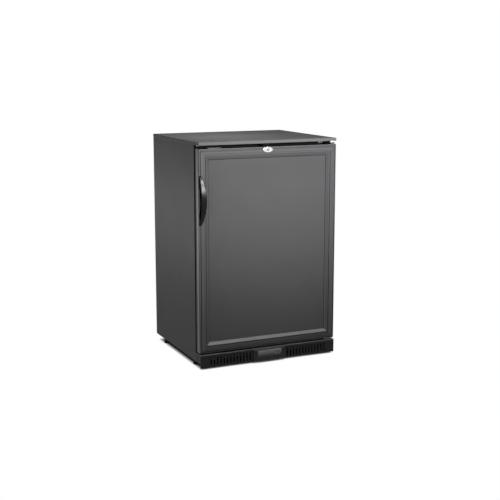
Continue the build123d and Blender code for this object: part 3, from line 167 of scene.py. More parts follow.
# Brushed lines: noise whose place is multiplied by more across the lines than along them, about one half.
def makeBrushing():
    group, given, result = newGroup(
        "brushing",
        [("Place", "Vector", (0, 0, 0)), ("Stretch", "Vector", (4, 900, 900))],
        [("Lines", "Float"), ("Streaks", "Float")],
    )
    stretched = addNode(
        group, "VectorMath", {"operation": "MULTIPLY"}, in0=given["Place"], in1=given["Stretch"]
    )
    lines = addNode(group, "TexNoise", Vector=stretched.outputs[0], Scale=1.0, Detail=3.0, Roughness=0.7)
    wide = addNode(group, "VectorMath", {"operation": "SCALE"}, in0=stretched.outputs[0])
    wide.inputs["Scale"].default_value = streakScale
    streaks = addNode(group, "TexNoise", Vector=wide.outputs[0], Scale=1.0, Detail=2.0, Roughness=0.5)
    group.links.new(lines.outputs[0], result["Lines"])
    group.links.new(streaks.outputs[0], result["Streaks"])
    return group


edgeValues = {"flat": 0.995, "sharp": 0.85}  # cosines between the true normal and the rounded one


# Lighter edges: 1 where the surface turns sharply within the reach, 0 on flat faces.
def makeEdgeShade():
    group, given, result = newGroup(
        "edgeShade",
        [("Reach", "Float", 0.002), ("Amount", "Float", 1.0)],
        [("Edge", "Float")],
    )
    bevel = addNode(group, "Bevel", {"samples": 6}, Radius=given["Reach"])
    normal = addNode(group, "NewGeometry").outputs["Normal"]
    turned = addNode(group, "VectorMath", {"operation": "DOT_PRODUCT"}, in0=bevel.outputs[0], in1=normal)
    edge = remap(group, turned.outputs["Value"], edgeValues["flat"], edgeValues["sharp"], 0.0, 1.0)
    group.links.new(calc(group, "MULTIPLY", edge, given["Amount"]), result["Edge"])
    return group


fineGrain = makeFineGrain()
brushing = makeBrushing()
edgeShade = makeEdgeShade()


# A node group placed in a material; its sockets are named without their spaces.
def placeGroup(tree, group, **links):
    node = tree.nodes.new("ShaderNodeGroup")
    node.node_tree = group
    for key, value in links.items():
        label = next(name for name in node.inputs.keys() if name.replace(" ", "") == key)
        if isinstance(value, bpy.types.NodeSocket):
            tree.links.new(value, node.inputs[label])
        else:
            node.inputs[label].default_value = value
    return node


# A material whose Principled BSDF has its uniform values set on its own sockets.
def startMaterial(name, roughness, metallic=0.0, **sockets):
    material = bpy.data.materials.new(name)
    material.use_nodes = True
    tree = material.node_tree
    shader = tree.nodes["Principled BSDF"]
    shader.inputs["Roughness"].default_value = roughness
    shader.inputs["Metallic"].default_value = metallic
    for key, value in sockets.items():
        shader.inputs[key.replace("_", " ")].default_value = value
    place = tree.nodes.new("ShaderNodeTexCoord").outputs["Object"]
    return tree, shader, place


# A screen grey from 0 to 255 as a linear colour, with a slight tint.
def grey(value, tint=(1.0, 1.0, 1.0)):
    level = value / 255
    linear = level / 12.92 if level <= 0.04045 else ((level + 0.055) / 1.055) ** 2.4
    return (linear * tint[0], linear * tint[1], linear * tint[2], 1.0)


coolTint = (0.99, 0.99, 1.02)
edgeLift = 30  # how many grey levels a painted edge is above its face


# The middle part of a noise, between its limits, carried to a roughness that runs from least to most.
def varyRoughness(tree, shader, noise, limits, least, most):
    tree.links.new(remap(tree, noise, *limits, least, most), shader.inputs["Roughness"])


# A noise raised from the surface by up to the height, at that strength.
def raiseSurface(tree, shader, noise, strength, height=0.0003):
    bump = addNode(tree, "Bump", Height=noise, Strength=strength, Distance=height)
    tree.links.new(bump.outputs[0], shader.inputs["Normal"])


paintValues = {
    "casePaint": {"dark": 62, "light": 76, "roughness": 0.68, "specular": 0.15, "grain": 1.0, "bump": 0.06,
                  "paintedFlangeShade": 10},
    "doorPaint": {"dark": 90, "light": 98, "roughness": 0.62, "specular": 0.12, "grain": 0.8, "bump": 0.04},
}


# Powder coat: a dark base, faint mottling, fine grain and slightly lighter edges. The case's front flanges,
# in the shade behind the door, have that shade painted in as a dark level of their own.
def makePaint(name, values):
    roughness = values["roughness"]
    tree, shader, place = startMaterial(name, roughness, Specular_IOR_Level=values["specular"])
    grain = placeGroup(tree, fineGrain, Place=place, GrainSize=values["grain"], Mottle=0.9)
    edge = placeGroup(tree, edgeShade, Reach=0.0015, Amount=0.35)
    share = calc(tree, "ADD", grain.outputs["Mottling"], 0.5, clamp=True)
    colour = mixColours(tree, share, grey(values["dark"], coolTint), grey(values["light"], coolTint))
    colour = mixColours(tree, edge.outputs["Edge"], colour, grey(values["light"] + edgeLift, coolTint))
    if "paintedFlangeShade" in values:
        # faces turned to the front take the flanges' painted shade
        front = remap(tree, facingAlong(tree, "Y"), -0.5, -0.8, 0.0, 1.0)
        colour = mixColours(tree, front, colour, grey(values["paintedFlangeShade"]))
    tree.links.new(colour, shader.inputs["Base Color"])
    varyRoughness(tree, shader, grain.outputs["Height"], (0.2, 0.8), roughness - 0.05, roughness + 0.07)
    raiseSurface(tree, shader, grain.outputs["Height"], values["bump"], 0.0004)


for name, values in paintValues.items():
    makePaint(name, values)

brushedValues = {
    "worktopBrushed": {"dark": 61, "light": 91, "roughness": 0.68, "specular": 0.1, "stretch": (3, 500, 500),
                       "paintedFrontHighlight": 120},
    "frameAcross": {"dark": 84, "light": 112, "roughness": 0.4, "specular": 0.1, "stretch": (3, 800, 800),
                    "paintedUpperShade": 16, "paintedSlopeHighlight": 122},
    # the bottom rail's copy of the frame finish, darker as a painted shade of the door's lower part
    "frameLowerShaded": {"dark": 70, "light": 92, "roughness": 0.4, "specular": 0.1, "stretch": (3, 800, 800),
                   "paintedUpperShade": 16, "paintedSlopeHighlight": 122},
    "frameUpright": {"dark": 88, "light": 110, "roughness": 0.4, "specular": 0.1, "stretch": (800, 800, 3),
                     "paintedSideShade": 20, "sideRear": 0.012, "sideFront": 0.004, "sideSoft": 0.001},
}
streakShare = 0.65  # how much of the brushed pattern is broad streaks


# Dark tinted metal with brushed lines along its length. Front edges and slopes can have a painted highlight,
# and upper sides and the rear and front strips of the sides that face left and right a painted shade, each at
# a level of its own.
def makeBrushedPaint(name, values):
    roughness = values["roughness"]
    tree, shader, place = startMaterial(name, roughness, Specular_IOR_Level=values["specular"])
    lines = placeGroup(tree, brushing, Place=place, Stretch=values["stretch"])
    edge = placeGroup(tree, edgeShade, Reach=0.0012, Amount=0.4)
    fine = calc(tree, "MULTIPLY", lines.outputs["Lines"], 1 - streakShare)
    broad = calc(tree, "MULTIPLY", lines.outputs["Streaks"], streakShare)
    share = remap(tree, calc(tree, "ADD", fine, broad), 0.36, 0.64, 0.0, 1.0)
    colour = mixColours(tree, share, grey(values["dark"], coolTint), grey(values["light"], coolTint))
    if "paintedFrontHighlight" in values:
        # faces turned to the front are lighter: a painted highlight on the worktop's front edge
        front = remap(tree, facingAlong(tree, "Y"), -0.35, -0.75, 0.0, 1.0)
        colour = mixColours(tree, front, colour, grey(values["paintedFrontHighlight"], coolTint))
    if "paintedUpperShade" in values:
        facing = facingAlong(tree, "Z")
        # upward slopes, such as the bottom rail's bevel, are lighter: a painted highlight
        slope = remap(tree, facing, 0.2, 0.45, 0.0, 1.0)
        colour = mixColours(tree, slope, colour, grey(values["paintedSlopeHighlight"], coolTint))
        # faces turned up, such as the top rail's top under the worktop, are darker: a painted shade
        upper = remap(tree, facing, 0.7, 0.9, 0.0, 1.0)
        colour = mixColours(tree, upper, colour, grey(values["paintedUpperShade"]))
    colour = mixColours(tree, edge.outputs["Edge"], colour, grey(values["light"] + edgeLift, coolTint))
    if "paintedSideShade" in values:
        # the rear and front strips of the door's side faces are darker: a painted shade of the gap and the
        # rounded corner
        low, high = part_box("door_stile_left")
        depth = addNode(tree, "SeparateXYZ", in0=place).outputs["Y"]
        rear, front, soft = high.y - values["sideRear"], low.y + values["sideFront"], values["sideSoft"]
        shaded = calc(tree, "MAXIMUM", remap(tree, depth, rear, rear + soft, 0.0, 1.0),
                      remap(tree, depth, front + soft, front, 0.0, 1.0))
        outward = remap(tree, calc(tree, "ABSOLUTE", facingAlong(tree, "X", own=True)), 0.6, 0.8, 0.0, 1.0)
        shaded = calc(tree, "MULTIPLY", shaded, outward)
        colour = mixColours(tree, shaded, colour, grey(values["paintedSideShade"]))
    tree.links.new(colour, shader.inputs["Base Color"])
    varyRoughness(tree, shader, lines.outputs["Lines"], (0.3, 0.7), roughness - 0.06, roughness + 0.08)
    raiseSurface(tree, shader, lines.outputs["Lines"], 0.05)


for name, values in brushedValues.items():
    makeBrushedPaint(name, values)

plasticValues = {
    "handleGloss": {"level": 34, "roughness": 0.22, "specular": 0.2, "grain": 3, "bump": 0.01, "coat": 0,
                    "metallic": 1.0, "glancing": 0.0},
    "plinthPlastic": {"level": 38, "roughness": 0.6, "specular": 0.12, "grain": 1.2, "bump": 0.12, "coat": 0,
                      "lipFrom": 0.0558, "lipTo": 0.0576, "paintedLipHighlight": 84},
    "housingPlastic": {"level": 40, "roughness": 0.5, "specular": 0.15, "grain": 1, "bump": 0.08, "coat": 0},
    "footPlastic": {"level": 16, "roughness": 0.7, "specular": 0.1, "grain": 1.5, "bump": 0.15, "coat": 0},
    "greyPlastic": {"level": 105, "roughness": 0.45, "specular": 0.3, "grain": 1, "bump": 0.08, "coat": 0},
    "coverGrey": {"level": 125, "roughness": 0.5, "specular": 0.2, "grain": 1, "bump": 0.08, "coat": 0},
    "whitePlastic": {"level": 228, "roughness": 0.3, "specular": 0.4, "grain": 1.5, "bump": 0.03,
                     "coat": 0.1},
    "darkPlastic": {"level": 34, "roughness": 0.5, "specular": 0.3, "grain": 1.2, "bump": 0.1, "coat": 0},
    "sealRubber": {"level": 12, "roughness": 0.85, "specular": 0.06, "grain": 1.6, "bump": 0.12, "coat": 0},
    "compressorBlack": {"level": 26, "roughness": 0.35, "specular": 0.3, "grain": 2, "bump": 0.08,
                        "coat": 0.1},
    "boardGreen": {"level": 60, "roughness": 0.4, "specular": 0.4, "grain": 1, "bump": 0.1, "coat": 0.3},
    "foamCream": {"level": 215, "roughness": 0.85, "specular": 0.2, "grain": 3, "bump": 0.5, "coat": 0},
}
tints = {"boardGreen": (0.35, 1.2, 0.5), "foamCream": (1.0, 0.9, 0.62)}
mottleSpread = 0.08  # how far mottling takes a plastic's level up and down, as a share of it


# Moulded plastic or rubber: fine spark-eroded grain, faint mottling, lighter edges; on the plinth, a painted
# highlight along its top edge. The handle's black lacquer has its reflection from a metal base, so that it
# doesn't grow at a glancing angle.
def makePlastic(name, values):
    level, roughness = values["level"], values["roughness"]
    tree, shader, place = startMaterial(
        name, roughness, values.get("metallic", 0.0), Coat_Weight=values["coat"],
        Specular_IOR_Level=values["specular"], Specular_Tint=[values.get("glancing", 1.0)] * 3 + [1.0]
    )
    tint = tints.get(name, coolTint)
    grain = placeGroup(tree, fineGrain, Place=place, GrainSize=values["grain"], Mottle=0.8)
    edge = placeGroup(tree, edgeShade, Reach=0.001, Amount=0.3)
    share = calc(tree, "ADD", grain.outputs["Mottling"], 0.5, clamp=True)
    dull, bright = level * (1 - mottleSpread), level * (1 + mottleSpread)
    colour = mixColours(tree, share, grey(dull, tint), grey(bright, tint))
    colour = mixColours(tree, edge.outputs["Edge"], colour, grey(min(255, level * 1.3 + 14), tint))
    if "paintedLipHighlight" in values:
        # a band along the plinth's top edge is lighter: a painted highlight
        up = addNode(tree, "SeparateXYZ", in0=place).outputs["Z"]
        lip = remap(tree, up, values["lipFrom"], values["lipTo"], 0.0, 1.0)
        colour = mixColours(tree, lip, colour, grey(values["paintedLipHighlight"], tint))
    tree.links.new(colour, shader.inputs["Base Color"])
    varyRoughness(tree, shader, grain.outputs["Height"], (0.2, 0.8), roughness * 0.9, roughness * 1.12)
    raiseSurface(tree, shader, grain.outputs["Height"], values["bump"])


for name, values in plasticValues.items():
    makePlastic(name, values)

metalValues = {
    "zincBright": {"level": 200, "tint": (1.0, 0.99, 0.95), "roughness": 0.3, "stretch": (60, 60, 60)},
    "lockChrome": {"level": 235, "tint": (1.0, 1.0, 1.0), "roughness": 0.12, "stretch": (30, 30, 30)},
    "lockNickel": {"level": 120, "tint": (1.0, 1.0, 1.0), "roughness": 0.35, "stretch": (30, 30, 30)},
    "wireChrome": {"level": 200, "tint": (1.0, 1.0, 1.01), "roughness": 0.2, "stretch": (40, 4, 40)},
    "galvanised": {"level": 150, "tint": (0.98, 1.0, 1.02), "roughness": 0.5, "stretch": (25, 25, 25),
                   "metallic": 0.6, "spangle": 0.009},
    "linerAluminium": {"level": 168, "tint": (1.0, 1.0, 1.01), "roughness": 0.42, "stretch": (500, 500, 4),
                       "metallic": 0.55},
    "coilAluminium": {"level": 200, "tint": (1.0, 1.0, 1.0), "roughness": 0.35, "stretch": (4, 300, 300)},
    "copperTube": {"level": 205, "tint": (1.0, 0.42, 0.24), "roughness": 0.32, "stretch": (120, 120, 120)},
    "castIron": {"level": 105, "tint": (1.0, 0.99, 0.97), "roughness": 0.6, "stretch": (400, 400, 400)},
}
crystalShare = 0.7  # how much of a spangled sheet's pattern is its crystals


# Bare metal: brushed or spangled variation in colour and roughness, with brighter edges.
def makeMetal(name, values):
    level, tint, roughness = values["level"], values["tint"], values["roughness"]
    tree, shader, place = startMaterial(name, roughness, values.get("metallic", 1.0))
    lines = placeGroup(tree, brushing, Place=place, Stretch=values["stretch"])
    edge = placeGroup(tree, edgeShade, Reach=0.0008, Amount=0.35)
    share = remap(tree, lines.outputs["Lines"], 0.3, 0.7, 0.0, 1.0)
    if "spangle" in values:
        cells = addNode(tree, "TexVoronoi", Vector=place, Scale=1 / values["spangle"])
        crystal = addNode(tree, "SeparateColor", in0=cells.outputs["Color"]).outputs[0]
        crystal = calc(tree, "MULTIPLY", crystal, crystalShare)
        share = calc(tree, "ADD", calc(tree, "MULTIPLY", share, 1 - crystalShare), crystal)
    colour = mixColours(tree, share, grey(level * 0.9, tint), grey(min(255, level * 1.08), tint))
    colour = mixColours(tree, edge.outputs["Edge"], colour, grey(min(255, level * 1.2), tint))
    tree.links.new(colour, shader.inputs["Base Color"])
    varyRoughness(tree, shader, lines.outputs["Streaks"], (0.3, 0.7), roughness * 0.85, roughness * 1.2)
    raiseSurface(tree, shader, lines.outputs["Lines"], 0.04)


for name, values in metalValues.items():
    makeMetal(name, values)

hingeValues = {"level": 215, "painted": 18, "roughness": 0.35, "fade": 0.01, "hidden": 0.004, "edge": 0.001}


# Hinge plates: bright zinc under the door, black on the upper plate, and the same black as a painted shade
# behind the plinth.
def makeHingeFinish():
    tree, shader, place = startMaterial("hingeZinc", hingeValues["roughness"], Specular_IOR_Level=0.1)
    low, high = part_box("door_panel")
    middle = (low.z + high.z) / 2
    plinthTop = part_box("plinth_grille")[1].z
    height = addNode(tree, "SeparateXYZ", in0=place).outputs["Z"]
    below = remap(tree, height, middle, middle + hingeValues["fade"], 1.0, 0.0)
    # from the plinth's top down the plate is black: a painted shade behind the plinth
    plinthShadeEnd = plinthTop - hingeValues["hidden"]
    above = remap(tree, height, plinthShadeEnd, plinthShadeEnd + hingeValues["edge"], 0.0, 1.0)
    bare = calc(tree, "MULTIPLY", below, above)
    lines = placeGroup(tree, brushing, Place=place, Stretch=(60, 60, 60))
    dull, bright = grey(hingeValues["level"] * 0.9), grey(hingeValues["level"])
    zinc = mixColours(tree, lines.outputs["Lines"], dull, bright)
    tree.links.new(mixColours(tree, bare, grey(hingeValues["painted"]), zinc), shader.inputs["Base Color"])
    tree.links.new(bare, shader.inputs["Metallic"])


makeHingeFinish()

windowValues = {"top": 150, "bottom": 24, "roughness": 0.2, "specular": 0.25}


# Smoked gloss plastic, lighter towards its upper edge as a painted reflection.
def makeWindowPlastic():
    tree, shader, place = startMaterial(
        "smokedWindow", windowValues["roughness"], Specular_IOR_Level=windowValues["specular"]
    )
    low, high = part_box("control_window")
    height = addNode(tree, "SeparateXYZ", in0=place).outputs["Z"]
    # lighter upwards: a painted reflection
    share = remap(tree, height, low.z, high.z, 0.0, 1.0, "SMOOTHSTEP")
    colour = mixColours(tree, share, grey(windowValues["bottom"]), grey(windowValues["top"]))
    tree.links.new(colour, shader.inputs["Base Color"])


makeWindowPlastic()
print("materials made")

finishes = {
    "casePaint": ["left_side_panel", "right_side_panel", "front_rails", "rear_grille"],
    "worktopBrushed": ["worktop"],
    "doorPaint": ["door_panel"],
    "frameUpright": ["door_stile_left", "door_stile_right"],
    "frameAcross": ["door_rail_top"],
    "frameLowerShaded": ["door_rail_bottom"],
    "handleGloss": ["handle"],
    "plinthPlastic": ["plinth_grille"],
    "housingPlastic": ["control_housing"],
    "smokedWindow": ["control_window"],
    "coverGrey": ["hinge_cover_plate"],
    "greyPlastic": ["drain_trays_and_hose", "button_power", "button_light", "button_down", "button_up"],
    "whitePlastic": ["door_inner_skin", "lamp_housing", "lamp_cover"],
    "darkPlastic": ["hinge_bushes", "evaporator_fan_blades", "evaporator_fan_motor", "temperature_sensor",
                    "electrical_boxes"],
    "sealRubber": ["door_seal", "compressor_grommets"],
    "footPlastic": ["foot_front_left", "foot_front_right", "foot_rear_left", "foot_rear_right",
                    "lock_keeper"],
    "compressorBlack": ["compressor_shell", "condenser_fan_motor"],
    "boardGreen": ["control_board"],
    "foamCream": ["foam_insulation", "door_core"],
    "zincBright": ["cabinet_fasteners", "handle_screws", "hinge_pins"],
    "hingeZinc": ["hinge_plates"],
    "lockChrome": ["lock_body"],
    "lockNickel": ["lock_barrel"],
    "wireChrome": ["wire_shelf_lower", "wire_shelf_upper", "fan_guard"],
    "galvanised": ["back_panel", "base_pan", "machine_bay_skin", "fan_shroud", "shelf_supports"],
    "linerAluminium": ["inner_liner", "duct_panel"],
    "coilAluminium": ["coil_fins", "condenser_fan_blades"],
    "copperTube": ["refrigerant_pipes"],
    "castIron": ["compressor_pump_motor"],
}
for finish, members in finishes.items():
    for member in members:
        mesh = nodes[member].data
        mesh.materials.clear()
        mesh.materials.append(bpy.data.materials[finish])
dressed = {member for members in finishes.values() for member in members}
print("finished nodes:", len(dressed), "left over:", sorted(set(nodes) - dressed))

# The door gasket: a flange, a folded bellows and a magnet pocket, carried round the door's back. Its section
# is drawn across the gasket, from the outer edge inwards, and out from the door towards the cabinet.
gasketValues = {"inset": 0.012, "width": 0.022, "depth": 0.0127, "foot": 0.0024, "fold": 0.0016, "folds": 2.0,
                "waist": 0.0022, "pocket": 0.0042, "points": 25, "round": 0.0012, "taper": 0.0006}


# The flank goes in and out as a cosine while it rises, and ends in a rounded corner; the other side mirrors
# it.
def gasketSection(values):
    rise = np.linspace(values["foot"], values["depth"] - values["pocket"], values["points"])
    turn = (rise - rise[0]) / (rise[-1] - rise[0]) * values["folds"] * 2 * np.pi
    flank = values["waist"] + values["fold"] * (1 - np.cos(turn)) / 2
    bow = np.linspace(0, np.pi / 2, 6)
    cornerAcross = values["waist"] + values["round"] * (1 - np.sin(bow))
    cornerRise = values["depth"] - values["round"] * (1 - np.cos(bow))[::-1]
    left = np.concatenate([
        np.array([[0.0, 0.0], [0.0, values["foot"] * 0.5], [values["taper"], values["foot"]]]),
        np.stack([flank, rise], 1),
        np.stack([cornerAcross[::-1], cornerRise], 1),
    ])
    right = left[::-1] * (-1, 1) + (values["width"], 0)
    return np.concatenate([left, right])


# Each point of a section (across, deep) goes round a rectangle set in from the box's edges by its place
# across, at its depth behind the front; the corners are mitred.
def ringPlaces(section, box, front):
    low, high = box
    edge = section[:, 0][:, None]
    place = np.empty((len(section), 4, 3))
    place[..., 0] = (low.x + high.x) / 2 + np.array([-1, 1, 1, -1]) * ((high.x - low.x) / 2 - edge)
    place[..., 1] = front + section[:, 1][:, None]
    place[..., 2] = (low.z + high.z) / 2 + np.array([-1, -1, 1, 1]) * ((high.z - low.z) / 2 - edge)
    return place


# A grid of places made into quads, closed along its rows; along its columns it is closed, or has flat ends.
def skin(name, place, ring=True):
    rows, columns = place.shape[:2]
    row, column = np.meshgrid(np.arange(rows), np.arange(columns if ring else columns - 1), indexing="ij")
    nextRow, nextColumn = (row + 1) % rows, (column + 1) % columns
    corners = [row * columns + column, row * columns + nextColumn,
               nextRow * columns + nextColumn, nextRow * columns + column]
    faces = np.stack(corners, -1).reshape(-1, 4).tolist()
    if not ring:
        faces += [(np.arange(rows) * columns + end).tolist() for end in (0, columns - 1)]
    mesh = bpy.data.meshes.new(name)
    mesh.from_pydata(place.reshape(-1, 3).tolist(), [], faces)
    work = bmesh.new()
    work.from_mesh(mesh)
    bmesh.ops.recalc_face_normals(work, faces=work.faces)
    work.to_mesh(mesh)
    work.free()
    piece = bpy.data.objects.new(name, mesh)
    scene.collection.objects.link(piece)
    return piece


# A new piece's finish, the body it rides on, its slot, which is not used, and the nodes that it stands for.
def fit(piece, finish, body, slot, *nodeNames):
    piece.data.materials.append(bpy.data.materials[finish])
    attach(piece, body)
    if nodeNames:
        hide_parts(*nodeNames)


sealLow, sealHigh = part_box("door_seal")
gasketRing = ringPlaces(gasketSection(gasketValues), (sealLow, sealHigh), sealHigh.y - gasketValues["depth"])
gasket = skin("door_gasket", gasketRing)
fit(gasket, "sealRubber", "door", "black_rubber", "door_seal")
print("gasket made")

# The door frame's extrusion: a rounded outer corner, a shadow groove beside it, a flat face, a second groove,
# and a bevel down to the lip that holds the panel.
frameValues = {"flat": 0.028, "bevelDepth": 0.0085, "lip": 0.0015, "web": 0.030, "round": 0.0035,
               "outerGroove": 0.0046, "grooveWide": 0.0042, "grooveDeep": 0.0036, "mitreGap": 0.0001}


# Points go across from the door's edge and back from its face: a quarter circle, two trapezoid grooves and
# a slope.
def frameSection(values, width, depth):
    bow = np.linspace(0, np.pi / 2, 7)
    corner = values["round"] * np.stack([1 - np.cos(bow), 1 - np.sin(bow)], 1)
    wide, deep = values["grooveWide"], values["grooveDeep"]

    def groove(start, rise):
        return [[start, 0], [start + 0.1 * wide, deep], [start + 0.9 * wide, deep], [start + wide, rise]]

    slope = values["bevelDepth"] / (width - values["flat"])
    back = values["bevelDepth"] + values["lip"]
    return np.concatenate([
        [[0, depth]], corner, groove(values["outerGroove"], 0),
        groove(values["flat"] - wide / 2, slope * wide / 2),
        [[width, values["bevelDepth"]], [width, back], [values["web"], back], [values["web"], depth]],
    ])


# A bar's section at both mitred ends: each point is cut back from the end by its distance from the door's
# edge.
def barPlaces(section, side, start, end, upright, front):
    edge, gap = section[:, 0], frameValues["mitreGap"]
    along = np.stack([start + edge + gap, end - edge - gap], 1)
    across = np.repeat((side[0] + side[1] * edge)[:, None], 2, 1)
    deep = np.repeat((front + section[:, 1])[:, None], 2, 1)
    return np.stack([across, deep, along] if upright else [along, deep, across], -1)


stileLow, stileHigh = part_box("door_stile_left")
railLow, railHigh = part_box("door_rail_top")
frameSkin = frameSection(frameValues, stileHigh.x - stileLow.x, stileHigh.y - stileLow.y)
doorSpan = (railLow.x, railHigh.x, stileLow.z, stileHigh.z)
frameBars = {
    "door_stile_left": ((doorSpan[0], 1), doorSpan[2], doorSpan[3], True),
    "door_stile_right": ((doorSpan[1], -1), doorSpan[2], doorSpan[3], True),
    "door_rail_top": ((doorSpan[3], -1), doorSpan[0], doorSpan[1], False),
    "door_rail_bottom": ((doorSpan[2], 1), doorSpan[0], doorSpan[1], False),
}
for node, (side, start, end, upright) in frameBars.items():
    bar = skin(node + "_extrusion", barPlaces(frameSkin, side, start, end, upright, stileLow.y), ring=False)
    finish = next(name for name, members in finishes.items() if node in members)
    fit(bar, finish, "door", "frame_paint", node)
print("door frame made")

# The dark bead between the frame's lip and the panel: a quarter round lying on the panel's face that draws
# the shadow line there as painted shade.
beadValues = {"reach": 0.0021, "height": 0.0016, "tuck": 0.0004, "points": 7}


# A quarter ellipse, from the lip's side to the panel's face, closed at its foot.
def beadSection(values, width, panelDepth):
    turn = np.linspace(0, np.pi / 2, values["points"])
    across = width - values["tuck"] + (values["reach"] + values["tuck"]) * np.sin(turn)
    deep = panelDepth - values["height"] * np.cos(turn)
    return np.concatenate([np.stack([across, deep], 1), [[width - values["tuck"], panelDepth]]])


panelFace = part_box("door_panel")[0].y
beadSkin = beadSection(beadValues, stileHigh.x - stileLow.x, panelFace - stileLow.y)
doorBox = (Vector((doorSpan[0], 0, doorSpan[2])), Vector((doorSpan[1], 0, doorSpan[3])))
bead = skin("panel_shadow_bead", ringPlaces(beadSkin, doorBox, stileLow.y))
fit(bead, "darkPlastic", "door", "black_rubber")
print("panel bead made")

# Plates behind the plinth's front, just outside the last slots: a dark sheet standing in for the shade seen
# through them.
ribValues = {"inset": 0.0385, "thick": 0.0016, "wall": 0.0028, "deep": 0.0465, "raised": 0.002,
             "below": 0.0032, "corner": 0.008}


# A flat plate set in from the plinth's end, with its lower back corner cut.
def ribPlaces(values, side):
    low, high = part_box("plinth_grille")
    front, back = low.y + values["wall"], low.y + values["deep"]
    foot, top, cut = low.z + values["raised"], high.z - values["below"], values["corner"]
    outline = [(front, top), (front, foot), (back - cut, foot), (back, foot + cut), (back, top)]
    place = np.empty((len(outline), 2, 3))
    place[..., 0] = side * (high.x - values["inset"] + np.array((1, -1)) * values["thick"] / 2)
    place[..., 1:] = np.array(outline)[:, None]
    return place


for name, side in (("plinth_rib_left", -1), ("plinth_rib_right", 1)):
    fit(skin(name, ribPlaces(ribValues, side), ring=False), "plinthPlastic", "cabinet", "black_plastic")
print("plinth ribs made")

# floor, world and lights
floorValues = {"size": 30.0, "colour": (0.3, 0.3, 0.3, 1.0), "roughness": 0.9, "shadowReach": 0.1,
               "shadowFull": 0.1, "shadowNone": 0.5, "shadowSoft": 0.022}
far = floorValues["size"]
floorMesh = bpy.data.meshes.new("floor")
floorMesh.from_pydata([(-far, -far, 0), (far, -far, 0), (far, far, 0), (-far, far, 0)], [], [(0, 1, 2, 3)])
floor = bpy.data.objects.new("floor", floorMesh)
scene.collection.objects.link(floor)
floorMaterial = bpy.data.materials.new("paleFloor")
floorMaterial.use_nodes = True
floorMesh.materials.append(floorMaterial)


# 1 for camera, mirror and glass rays, 0 for the rays that carry light between surfaces.
def seenDirectly(tree):
    rays = tree.nodes.new("ShaderNodeLightPath").outputs
    reflected = calc(tree, "MAXIMUM", rays["Is Glossy Ray"], rays["Is Transmission Ray"])
    return calc(tree, "MAXIMUM", rays["Is Camera Ray"], reflected)


tree = floorMaterial.node_tree
floorShader = tree.nodes["Principled BSDF"]
floorShader.inputs["Base Color"].default_value = floorValues["colour"]
floorShader.inputs["Roughness"].default_value = floorValues["roughness"]
occlusion = addNode(tree, "AmbientOcclusion", {"samples": 8}, Distance=floorValues["shadowReach"])
shadow = remap(tree, occlusion.outputs["AO"], floorValues["shadowFull"], floorValues["shadowNone"], 0.0, 1.0)
# under the cabinet no light comes in at all: the distance past its outline, in X or in Y, whichever is more
spot = addNode(tree, "SeparateXYZ", in0=tree.nodes.new("ShaderNodeTexCoord").outputs["Object"]).outputs
pastSide = calc(tree, "SUBTRACT", calc(tree, "ABSOLUTE", spot["X"]), cadBox[1][0])
pastFront = calc(tree, "SUBTRACT", calc(tree, "ABSOLUTE", spot["Y"]), -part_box("plinth_grille")[0].y)
past = remap(tree, calc(tree, "MAXIMUM", pastSide, pastFront), -floorValues["shadowSoft"], 0.0, 0.0, 1.0)
shadow = calc(tree, "MULTIPLY", shadow, past)
white = addNode(tree, "Emission", Strength=shadow)
mixed = addNode(tree, "MixShader", in0=seenDirectly(tree), in1=floorShader.outputs[0], in2=white.outputs[0])
tree.links.new(mixed.outputs[0], tree.nodes["Material Output"].inputs["Surface"])

worldValues = {"ambient": 0.05}
world = bpy.data.worlds.new("studio")
scene.world = world
world.use_nodes = True
tree = world.node_tree
dim = tree.nodes["Background"]
dim.inputs["Color"].default_value = (1.0, 1.0, 1.0, 1.0)
dim.inputs["Strength"].default_value = worldValues["ambient"]
white = addNode(tree, "Background", Color=(1, 1, 1, 1), Strength=1.0)
mixed = addNode(tree, "MixShader", in0=seenDirectly(tree), in1=dim.outputs[0], in2=white.outputs[0])
tree.links.new(mixed.outputs[0], tree.nodes["World Output"].inputs["Surface"])

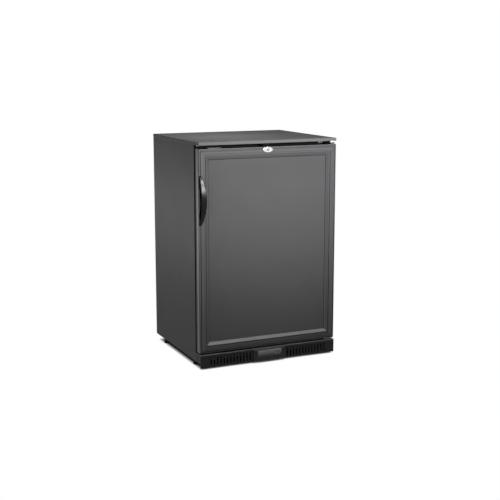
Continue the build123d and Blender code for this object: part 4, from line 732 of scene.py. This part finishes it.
lightValues = {
    "doorHigh": {"kind": "SPOT", "place": (0.3, -2.4, 1.3), "aim": (0.16, -0.25, 1.06), "angle": 50,
                 "power": 240},
    "bevelBeam": {"kind": "AREA", "place": (0, -0.6, 4.0), "aim": (0, -0.262, 0.1), "size": (0.9, 0.1),
                  "power": 0.5, "spread": 5},
    "handleGlint": {"kind": "SPOT", "place": (0.77, -2.6, 2.32), "aim": (-0.287, -0.27, 0.7), "angle": 26,
                    "power": 140, "radius": 0.2, "diffuse": False},
    "handleGlow": {"kind": "SPOT", "place": (0.87, -2.82, 1.76), "aim": (-0.287, -0.27, 0.7), "angle": 26,
                   "power": 130, "radius": 0.3, "diffuse": False},
    "sideStrip": {"kind": "AREA", "place": (-0.64, 0.05, 0.6), "aim": (0, 0.05, 0.6), "size": (1.6, 0.1),
                  "power": 3.0, "mirrored": False},
    "sideFill": {"kind": "AREA", "place": (-0.9, 0.05, 0.62), "aim": (0, 0.05, 0.62), "size": (1.8, 0.1),
                 "power": 1.0, "mirrored": False},
    "topPool": {"kind": "SPOT", "place": (-0.1, 0.0, 2.6), "aim": (-0.12, 0, 0.9), "angle": 16, "power": 150},
    "topFill": {"kind": "SPOT", "place": (-0.1, 0.0, 2.6), "aim": (-0.05, 0, 0.9), "angle": 26, "power": 40},
    "rightWash": {"kind": "SPOT", "place": (2.4, 0.3, 0.85), "aim": (0.3, 0, 0.5), "angle": 40, "power": 120},
    "backWash": {"kind": "SPOT", "place": (0.3, 2.6, 0.85), "aim": (0, 0.27, 0.5), "angle": 44, "power": 160,
                 "mirrored": False},
}


# A lamp turned from its place to the point it is aimed at; the camera doesn't see it.
def placeLamp(name, values):
    data = bpy.data.lights.new(name, values["kind"])
    data.energy = values["power"]
    if values["kind"] == "SPOT":
        data.spot_size = math.radians(values["angle"])
        data.spot_blend = 1.0
        data.shadow_soft_size = values.get("radius", 0.2)
    else:
        data.shape = "RECTANGLE"
        data.size, data.size_y = values["size"]
        data.spread = math.radians(values.get("spread", 180))
    lamp = bpy.data.objects.new(name, data)
    lamp.location = values["place"]
    lamp.visible_camera = False
    lamp.visible_glossy = values.get("mirrored", True)
    lamp.visible_diffuse = values.get("diffuse", True)
    direction = Vector(values["aim"]) - Vector(values["place"])
    lamp.rotation_euler = direction.to_track_quat("-Z", "Y").to_euler()
    scene.collection.objects.link(lamp)


for name, values in lightValues.items():
    placeLamp(name, values)
scene.view_settings.view_transform = "Standard"
print("lights placed")
